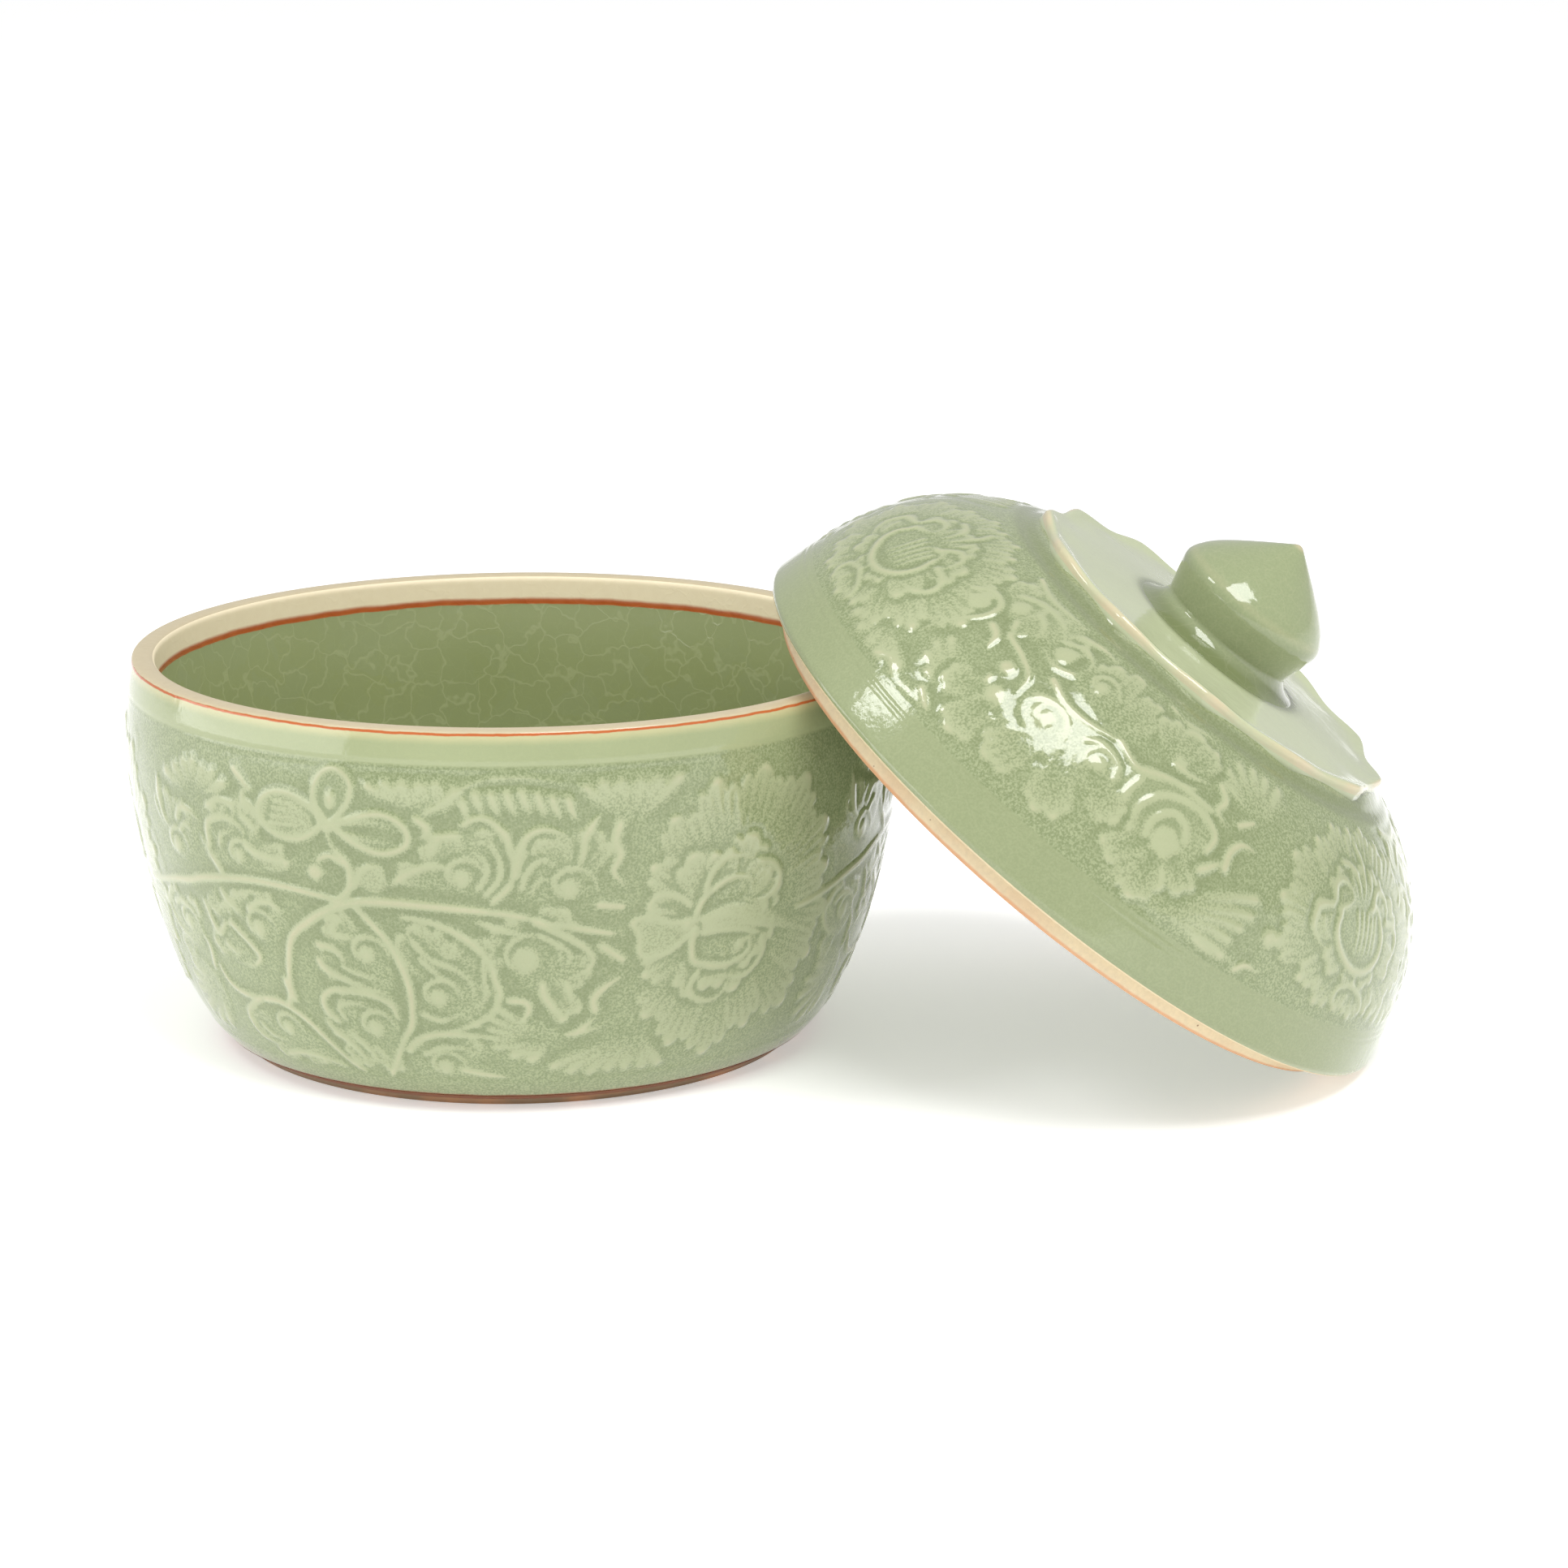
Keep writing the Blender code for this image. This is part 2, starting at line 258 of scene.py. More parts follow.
# ------------------------------------------------------------ bowl carving
def carve_bowl():
    c = Carving(-153.0, -33.0, 92.0, 1.536)
    L, F, B, R, N = c.line, c.fill, c.bulb, c.ring, c.fan
    HT = (-60, 45)
    # --- peony: outer scalloped petals
    F([(-61,50),(-68,56),(-69,60),(-68,64),(-67.5,69),(-64,72),(-62.5,76),(-59,77),(-57,79.5),(-52,81.5),(-47,80),(-44,78),
       (-40,80.5),(-37,77),(-38.5,72),(-37,66),(-39,60),(-33.5,57),(-31.5,50),(-31,42),(-32.5,36),(-33,30),(-36,25.5),(-37,20),
       (-40,16),(-44,13),(-48,12),(-51,9.5),(-54.5,7.5),(-58,8.5),(-62,10.5),(-65,14),(-68.5,19),(-71,25),(-71,31),(-67,36),(-62,42)], h=0.42)
    c.H[:] = np.where(c.H > 0, c.H*0.6, c.H)
    ctr = (-54.5, 45)
    reach = [(164,22),(142,27),(120,31),(98,36),(76,36.5),(55,39.5),(34,35),(14,33.5),(-6,34),(-26,35.5),(-47,37),(-68,34.5),(-89,36.5),(-110,35),(-131,30),(-151,25)]
    for i, (an, r1) in enumerate(reach):
        if i % 2 == 0:
            c.petal(ctr, an, 15.5, 12, r1, lobes=3, top=0.80, low=0.25)
    for i, (an, r1) in enumerate(reach):
        if i % 2:
            c.petal(ctr, an, 14.5, 11, r1*0.96, lobes=3, top=0.86, low=0.25)
    for i, (an, r1) in enumerate([(118,20),(70,21.5),(22,18),(-22,17.5),(-70,20.5),(-112,20)]):
        c.petal((-55.5,45), an, 26, 5, r1, lobes=3, top=0.92, low=0.3, pitch=2.0)
    for i, (an, r1) in enumerate([(94,19.5),(46,19),(0,15),(-46,18.5),(-92,19.5)]):
        c.petal((-55.5,45), an, 22, 4, r1*0.92, lobes=2, top=0.95, low=0.3, pitch=2.0)
    for c0, an, hf, r1, lb in [
        ((-94.4,56),112,34,15,3), ((-93,56),62,30,17,3), ((-97,58),165,26,11,2), ((-80,55),112,32,15,3), ((-80,55),62,28,17,3),
        ((-99,29),100,30,20,3), ((-98,30),52,32,19,3), ((-98,29),2,30,14,3), ((-98,28),-48,28,11,2),
        ((-85.6,39),118,30,12,2), ((-85,40),55,32,15,3), ((-85,38),-8,28,15,3), ((-84,37),-55,24,16,2),
        ((-109.4,38),128,32,14,3), ((-109,38),-170,32,14,3), ((-108,37),-115,26,9,2),
        ((-109.8,21),128,32,12,3), ((-109.8,21),-178,30,14,3), ((-109.8,20),-128,30,14,3), ((-109,19),-80,26,12,2),
        ((-130,58),122,30,14,3), ((-130,58),72,28,16,3), ((-129,58),15,24,14,2), ((-145,57),118,30,15,3), ((-145,57),68,28,13,3),
        ((-128,41),125,30,12,3), ((-128,41),65,30,12,3), ((-133,38),-165,32,11,3), ((-133,38),120,30,10,2),
        ((-127.4,16),-178,32,14,3), ((-127,15),-125,30,12,3), ((-126,15),-60,30,11,2), ((-98,11),125,34,11,3), ((-98,11),55,34,12,3),
        ((-146.6,37),130,32,11,3), ((-146.6,37),50,30,10,3), ((-146.6,36),-130,32,11,3), ((-136,52),-110,24,10,2)]:
        c.petal(c0, an, hf, 2.6, r1, lobes=lb, top=0.74, low=0.34, pitch=2.0)
    # heart
    L([(-60,47),(-59.2,50.5),(-57.5,53),(-55,55),(-52.5,55),(-50.8,53.5),(-50.5,50.5)], w=1.1, h=1.05, cut=0.4)
    L([(-58.8,53),(-57.6,57.5),(-55.5,60),(-52.5,60),(-49.5,58)], w=0.9, h=0.95, cut=0.3)
    L([(-49.5,58),(-47,56.8),(-45.5,54),(-45.5,51),(-47,48.8),(-49.5,48.3),(-52,49.5)], w=0.95, h=0.98, cut=0.3)
    for s0, tip in [(46.4,(-44.6,43.8)),(45.5,(-43,42)),(44.6,(-41,40.4)),(43.6,(-39.3,38.8)),(42.6,(-43.5,36.4))]:
        L([(-59.5,s0),(-54,s0+1.6-(46-s0)*0.5),(-49,(s0+tip[1])/2+1.2),tip], w=0.8, h=1.0, cut=0.3)
    L([(-60,44),(-60.2,40),(-59.5,36),(-57,34.3),(-54,33.5),(-51,34.5),(-49.5,36.5),(-50,39.5),(-51.5,38)], w=1.1, h=1.05, cut=0.4)
    B((-51.6,38.2), 1.5, h=1.0)
    L([(-47.3,38.5),(-46.5,35.5),(-47.5,32),(-49.5,30),(-52,30),(-55,31.5)], w=0.95, h=0.95, cut=0.3)
    L([(-58.5,33),(-59.5,30),(-59,27),(-57,25.2),(-54.5,25),(-53,27),(-52.5,29.5)], w=0.95, h=0.95, cut=0.3)
    # sepals
    F([(-60,46),(-64,46.5),(-67,48.5),(-70,47.5),(-68.8,44.5),(-68.5,39.5),(-66.5,38.5),(-63.5,39.5),(-60.3,43.5)], h=0.6)
    L([(-60,46),(-64,46.5),(-67,48.5),(-70,47.5),(-68.8,44.5),(-68.5,39.5),(-66.5,38.5),(-63.5,39.5),(-60.3,43.5)], w=0.85, h=0.95, t1=0.9)
    L([(-61,50),(-63,52.5),(-66,53.5),(-67.5,51.5),(-67,50),(-63,48.5)], w=0.9, h=1.0)
    B((-61.4,45.6), 1.5, h=1.15, ry=1.9)
    # beside the peony
    L([(-72,71.5),(-72.8,67),(-72,64),(-73,60),(-71,56.5)], w=1.5, h=0.9)
    L([(-75,52.4),(-71.5,51.6)], w=1.3, h=0.9, t1=0.9); L([(-74.4,42.4),(-71,38.5)], w=1.4, h=0.9, t1=0.8)
    L([(-74.8,26),(-75.2,29),(-73.5,32),(-71,34.5)], w=1.4, h=0.95); L([(-77.8,20),(-74.5,24.3)], w=1.2, h=0.9)
    L([(-79,20),(-76,20.6),(-73,22)], w=1.0, h=0.85)
    F([(-82,9),(-79,13),(-73,18),(-70,18.5),(-66,13),(-62,8.5),(-67,7.4),(-73,7.4)], h=0.5)
    N((-68,20), [(-82,10),(-79,8.2),(-75.5,7.2),(-72,7.4),(-68.6,7.2),(-65,7),(-62,7.6)], w=0.95, h=0.9, start=0.2)
    F([(-78,80.5),(-75,79),(-72,74),(-70.5,71),(-67,74),(-64,77),(-62,81),(-70,82.5)], h=0.5)
    N((-70.5,70), [(-77.5,80.5),(-75,81.6),(-72,81.8),(-69,81.6),(-66,81.6),(-62.5,81.4)], w=0.95, h=0.9, start=0.15)
    # --- main vine
    L([(-123.5,25),(-123.8,30),(-123,36),(-121.5,42),(-118,46.5),(-115,49.5),(-112,51.5),(-109,52.7),(-105,53),(-100,52.7),(-95,52.2),(-90,51.5),(-86,50.3),(-82,48.5),(-78,47),(-73,45.3)], w=1.35, h=1.15, t0=0.5, t1=0.5)
    L([(-82,48.5),(-77,46.8),(-71,45)], w=0.9, h=1.1)
    L([(-113.5,51.5),(-111,55),(-110.5,58.5),(-111,62),(-113,65),(-113.8,68.5)], w=1.05, h=1.05)
    L([(-111,61),(-113.5,62.8),(-115.5,61.5)], w=0.9, h=1.0, t1=0.8); B((-116,58.6), 2.2, h=1.0)
    F([(-110.5,57.5),(-109.5,61),(-106.5,61.5),(-105,57),(-107,54.5)], h=0.65); L([(-110,56),(-108.5,60.5),(-106,61),(-105,56.5)], w=0.85, h=0.95)
    # three petals
    F([(-116,67),(-119,65.6),(-123,66.6),(-125.4,70.5),(-124,75),(-120,76),(-116.5,74)], h=0.6)
    L([(-114.5,69.4),(-118,66),(-122.5,66.4),(-125.2,70.5),(-123.6,75),(-119.8,76),(-116,73.5),(-114.5,70)], w=1.0, h=0.98, t1=0.8)
    for k in range(4):
        L([(-123.2+k*0.3, 68.6+1.75*k),(-119.5,68.9+1.5*k),(-115.8,69.2+0.6*k)], w=0.6, h=0.95, cut=0.3)
    F([(-113.6,71),(-115.6,75),(-115,80),(-112.6,83),(-110.2,80),(-110.4,75)], h=0.34)
    L([(-113.6,70.5),(-115.6,75),(-115,80.2),(-112.6,82.8),(-110,80),(-110.4,75),(-113,70.5)], w=0.95, h=0.98, t1=0.8); B((-113, 75.6), 1.4, h=1.15, ry=2.3)
    L([(-112.8,69.8),(-109.6,66.4),(-105.6,64.4),(-102,66.4),(-102,70.4),(-105,73.2),(-109,72.4),(-112.8,69.8)], w=1.05, h=1.0, t1=0.9)
    L([(-111,70.4),(-106.5,71.2),(-103,69.6)], w=0.6, h=0.8); L([(-111,68.6),(-107,67),(-103.6,67)], w=0.6, h=0.8)
    B((-113.6,69.4), 1.5, h=1.1)
    L([(-100.4,72.8),(-98.8,70.5),(-99.8,68)], w=1.3, h=1.0)
    # top clouds
    F([(-108.5,80),(-106.5,82),(-102,81.5),(-97,82),(-94,80.5),(-96,77),(-98.5,74),(-101,76),(-104,77)], h=0.34)
    N((-97.5,72.5), [(-108.2,80),(-105.6,81),(-103,81.4),(-100.2,81.6),(-97.4,82),(-94.4,80.6)], w=1.0, h=0.92, start=0.15)
    L([(-99,74),(-96,77),(-93,80.5),(-90,82)], w=0.9, h=0.85); L([(-90,82),(-85,82),(-80,80.5)], w=0.7, h=0.8)
    for x, y in [(-94,77),(-92.2,78.8),(-90,78.6),(-87.8,78.8),(-85.8,79.2),(-83.6,78.4),(-81.6,77.6),(-79.4,77.2)]:
        L([(x,y),(x+0.4,y-2.2),(x+1.1,y-4.6)], w=1.15, h=0.92, t1=0.4)
    F([(-95,77),(-92,79.6),(-86,80),(-80,78.4),(-78,76),(-80,74),(-87,75),(-93,74.6)], h=0.34)
    # leaf A / B
    F([(-90,54),(-87,58),(-86.6,63),(-88,70),(-90,73.5),(-93.5,72.5),(-96.5,69.5),(-99.5,66.5),(-99,62.8),(-103.5,58),(-99,56.6),(-94,55.6)], h=0.34)
    L([(-90,54),(-87.5,58),(-87,63),(-88,69),(-90,72.5),(-92,73.2),(-94,71.5)], w=1.15, h=1.0, t1=0.7, cut=0.3)
    L([(-91,55.5),(-89,59.5),(-89,64),(-90.5,67.5),(-93,68)], w=0.85, h=0.95, cut=0.35)
    L([(-92,57),(-90.6,61),(-91.6,64.6),(-94.5,64.6)], w=0.8, h=0.92, cut=0.35)
    c.curl((-94.4,59.4), 2.9*0.86); L([(-98.5,65),(-97,68.8),(-94.5,69.5)], w=1.15, h=0.95, t1=0.6)
    L([(-104.4,57.2),(-101.5,60.4),(-98,62.2),(-95.5,61)], w=1.35, h=0.95, t0=0.3)
    F([(-87,55),(-87,62),(-86,68),(-83,71.5),(-79.5,70),(-75,73.2),(-76.4,67),(-78,61),(-76,55.5),(-80,53.5),(-84,54)], h=0.34)
    L([(-86.5,60),(-85.5,68),(-83,70.5),(-80,69),(-78.5,66)], w=1.1, h=1.0, cut=0.3)
    L([(-75,73.2),(-77,68.5),(-77.4,64),(-79,60)], w=1.25, h=0.95, t0=0.3, cut=0.3)
    L([(-86,57),(-84.6,62),(-82.5,63.5),(-80.6,61)], w=0.85, h=0.95, cut=0.35); c.curl((-79.4,56.6), 3.2*0.86)
    L([(-84.6,56),(-83.4,59),(-81.6,58.6)], w=0.7, h=0.85, cut=0.3)
    # inner vine
    L([(-110,51),(-107.5,47),(-105.5,43),(-104,38),(-103,32),(-103,26),(-103.5,22),(-105,18),(-107,12),(-109,6)], w=1.15, h=1.1, t0=0.7, t1=0.7)
    F([(-113.4,48.5),(-115.2,44),(-117.5,40.5),(-117.6,36.5),(-115.5,33.4),(-110,30.5),(-106,31),(-105.4,36),(-106.5,42),(-109,46)], h=0.34)
    L([(-113.2,48.2),(-114.4,44.6),(-112.4,43.5),(-109,44.5)], w=1.0, h=0.92); c.curl((-109.4,39.8), 2.9*0.86)
    L([(-117.2,41),(-114.8,40.4),(-113.2,38),(-113.4,35.6)], w=1.15, h=0.95, cut=0.3)
    L([(-117.5,37),(-116,34.5),(-113,32.5),(-110,31),(-107,30),(-105,26)], w=1.1, h=0.98, cut=0.3)
    L([(-113.4,36),(-110.4,34.4),(-107,34)], w=0.75, h=0.9, cut=0.3)
    F([(-114,30.6),(-117,29),(-118.8,25.5),(-118,21),(-115,15.5),(-113,10),(-109,9),(-106.6,14),(-105.2,20),(-105.4,25),(-108,29.5)], h=0.34)
    L([(-116,21.5),(-117.8,23.5),(-118,27),(-116,29.6),(-113,30),(-109.5,29.5),(-106.5,27.5),(-105.5,24)], w=1.1, h=1.0, t1=0.7, cut=0.3)
    L([(-114.8,22),(-115.4,25.4),(-112.4,26.8),(-109,25.6)], w=0.8, h=0.92, cut=0.35); c.curl((-109.8,20.6), 3.0*0.86)
    L([(-117.8,19),(-115,15.5),(-112.5,10.5)], w=1.2, h=0.95, t0=0.5); L([(-114.4,18.6),(-111.8,14.4),(-110.2,10)], w=1.0, h=0.92, t0=0.5)
    L([(-110.5,15),(-108.4,11)], w=0.8, h=0.85)
    # leaf C
    F([(-103.4,50),(-102.6,45),(-100.5,38),(-101,31),(-102.5,25),(-100,20),(-95,20.5),(-91,24),(-89,30),(-89.6,38),(-91.5,43),(-95,47),(-99,50)], h=0.34)
    L([(-103.2,49.8),(-98.5,48.5),(-94,45),(-91,40),(-90,35),(-89.3,31),(-90.5,26.5),(-93,23.5),(-97,21),(-100,20)], w=1.1, h=1.0, t0=0.6, t1=0.6, cut=0.3)
    L([(-102,44),(-99.4,39.5),(-96,37.5),(-93.5,34),(-93.4,30)], w=0.9, h=0.95, cut=0.35)
    L([(-101,39.5),(-98.5,36),(-96,33.5),(-95.4,30)], w=0.8, h=0.92, cut=0.35)
    L([(-91.6,40),(-91.6,35),(-91.6,30),(-94.5,26)], w=0.7, h=0.88, cut=0.3)
    c.curl((-98.8,30), 3.0*0.86); L([(-101.5,25.5),(-98.5,24),(-95,26)], w=0.9, h=0.92, cut=0.3); R((-96.5,42), 0.95, 1.5, w=0.5, h=0.9)
    # leaf D
    F([(-92.5,49.5),(-88,47.5),(-84.5,49.5),(-80,46),(-76.4,42.5),(-75,38.6),(-77.5,33),(-78.4,28),(-80.4,23.6),(-83,28),(-86,34),(-88.6,39),(-89.2,44)], h=0.34)
    c.curl((-85.6,39.6), 4.2*0.86); L([(-92.4,49.3),(-88,46.8),(-85,46)], w=1.0, h=0.95, t0=0.4, cut=0.3)
    L([(-84,49),(-80,45.5),(-77,42.5),(-75.5,39),(-77,36),(-79.5,34.5)], w=1.1, h=1.0, cut=0.3)
    L([(-83.4,45.6),(-80.4,43),(-78.8,40),(-80.4,37)], w=0.8, h=0.95, cut=0.35)
    L([(-83,33.5),(-82.5,30),(-79.5,24)], w=1.4, h=1.0, t0=0.9); L([(-79.5,33.8),(-78.4,28.6)], w=1.1, h=0.95, t0=0.8)
    # hand leaf
    L([(-88,29.5),(-85.5,29),(-85,27),(-86,24)], w=1.1, h=1.05, t1=0.7)
    F([(-91,28),(-86,26),(-80,19.5),(-83,13),(-85,11.5),(-90,14),(-92.5,19)], h=0.34)
    N((-81.5,18.5), [(-90,27.8),(-91.2,25),(-91.8,22.2),(-91.8,19.6),(-91,16.8),(-88.4,14),(-85.4,12)], w=0.95, h=0.98, start=0.1, bend=0.03)
    # bottom leaf
    F([(-105,14),(-103,19),(-99,21),(-92,20.4),(-89.6,16),(-93,12),(-88,7.5),(-97,7.2),(-103,8)], h=0.34)
    L([(-104.5,15),(-103,18),(-100,20),(-96,20.3),(-91,19.5),(-90,17)], w=1.1, h=1.0, cut=0.3); c.curl((-99,10.6), 3.0*0.86)
    L([(-102,14),(-99,16.4),(-95,16),(-93.4,13.6)], w=0.8, h=0.92, cut=0.35); L([(-96,10),(-92,8.5),(-88.5,7.5)], w=1.2, h=0.95)
    # --- left part
    L([(-153.5,46),(-148,48),(-143,49.5),(-139,51.3),(-134,52.8),(-128,54),(-122,54),(-117,53.3),(-112,52.4)], w=1.2, h=1.12, t0=0.8, t1=0.6)
    L([(-161,44),(-157,45),(-153.5,46)], w=1.1, h=1.1, t0=0.5, t1=1.0)
    L([(-134,54.5),(-136.5,59),(-138,62)], w=1.1, h=1.0)
    F([(-137,57),(-137.6,64),(-136,71),(-132,73),(-127,74),(-125.6,68),(-123,61.5),(-118.5,60.5),(-124,56.6),(-131,56)], h=0.34)
    L([(-136,60),(-136,65),(-134,67),(-131.5,67.5),(-129,66),(-128,63)], w=1.0, h=0.98, cut=0.3); c.curl((-129.8,59.4), 2.4*0.86)
    L([(-135.6,69.4),(-133,71.5),(-130,71)], w=1.2, h=0.98, t1=0.7); L([(-133.6,60.6),(-133,63.6),(-131,64)], w=0.75, h=0.9, cut=0.35)
    L([(-128,62),(-125,60.3),(-119.5,60)], w=1.25, h=0.95); L([(-128.4,68.8),(-126,66.3)], w=1.0, h=0.9, t1=0.8)
    L([(-128,74.4),(-128,71.5),(-126.6,70.3)], w=1.0, h=0.9); L([(-129.8,79.4),(-126.5,75)], w=1.2, h=0.9, t1=0.6)
    F([(-150,72),(-150,65),(-147,59.6),(-144,54.5),(-141,56),(-139,61),(-137.6,66),(-141,67.6),(-146,69.5)], h=0.34)
    L([(-149.5,72),(-149,66),(-148,62.5),(-146.5,61)], w=1.2, h=0.95, t0=0.5, cut=0.3); c.curl((-145,57.4), 2.7*0.86)
    L([(-144,64),(-143,66.4),(-140.5,67),(-138,65)], w=1.0, h=0.96, cut=0.3); L([(-143.4,61.6),(-141.6,63.4),(-140,61.6)], w=0.75, h=0.9, cut=0.3)
    F([(-147.5,74),(-144,77.6),(-139,80.4),(-135,78),(-131.4,77),(-133,73.5),(-140,73)], h=0.34)
    N((-139,70), [(-147.2,75),(-144.4,77.4),(-141.6,79.4),(-138.8,80.2),(-136,78.8),(-133.4,78.4),(-131,76)], w=1.05, h=0.92, start=0.32)
    F([(-136,51),(-134.5,46),(-131.5,43.5),(-130,40),(-126,39),(-122.6,43),(-121.8,47),(-124.5,50),(-130,50.5)], h=0.34)
    L([(-135,50),(-133.5,47),(-131.5,45.5)], w=1.2, h=0.95, t0=0.4); c.curl((-128,42.2), 3.0*0.86)
    L([(-129.4,46.6),(-127,48.9),(-124.5,49),(-122.5,46.5)], w=0.95, h=0.96, cut=0.3); L([(-131.6,49.4),(-128.6,51),(-125,51)], w=0.7, h=0.85)
    F([(-140.5,46),(-138.5,38),(-135.5,32),(-132,30.8),(-128,33),(-128.6,38),(-133,43),(-137,42)], h=0.34)
    L([(-140,45.6),(-137.8,38.4),(-135,41.6),(-132,39.5)], w=1.1, h=0.95, t0=0.5, cut=0.3)
    L([(-134,42),(-130,37),(-129,34.5),(-131,32),(-133.6,32)], w=1.0, h=0.98, cut=0.3); L([(-136.4,36.4),(-134.4,34.4),(-132.6,35.4)], w=0.8, h=0.92)
    L([(-140.3,29),(-139,25.5),(-136.5,23.5),(-133,23),(-128,23.8),(-125,22.5),(-122,19.5),(-119,14.5),(-116,9.5),(-114,7)], w=1.15, h=1.12, t0=0.5, t1=0.6)
    L([(-124.6,30),(-124.4,26),(-125.6,23)], w=1.2, h=1.1, t1=0.8)
    F([(-133,22),(-137,19.5),(-137.6,14),(-134.5,10),(-129,8),(-120,7),(-117.5,7.6),(-121,14),(-124.4,18.6),(-129,20.6)], h=0.34)
    L([(-132,22.5),(-135,20),(-136.5,17),(-136,13),(-134,11),(-130,10)], w=1.0, h=1.0, cut=0.3); c.curl((-127.4,16.4), 2.7*0.86)
    L([(-134,15.6),(-132,13),(-128.6,12)], w=0.8, h=0.92, cut=0.3); L([(-130,8),(-126,9.5),(-121,9),(-117,7)], w=1.1, h=0.95)
    L([(-151.5,44),(-153,40),(-151,35),(-147,33)], w=1.0, h=0.95)
    F([(-151,43),(-153,39),(-151,34),(-147,31),(-143,35),(-143,41),(-146,45)], h=0.48); c.curl((-146.6,38), 2.6*0.86)
    L([(-150,41.6),(-147,43),(-143.8,41)], w=0.9, h=0.94, cut=0.3)
    F([(-150,27),(-147,29),(-142.4,26),(-141.4,20),(-143,12),(-148,9),(-153,10),(-154,17),(-152,23)], h=0.48)
    N((-143,23), [(-151.6,26),(-153.4,22),(-154,17.6),(-153,12.6),(-149.6,9.6),(-145.6,10)], w=1.0, h=0.94, start=0.15, bend=0.04)
    L([(-142,28),(-141.6,33),(-143,37)], w=1.0, h=0.9)
    return c

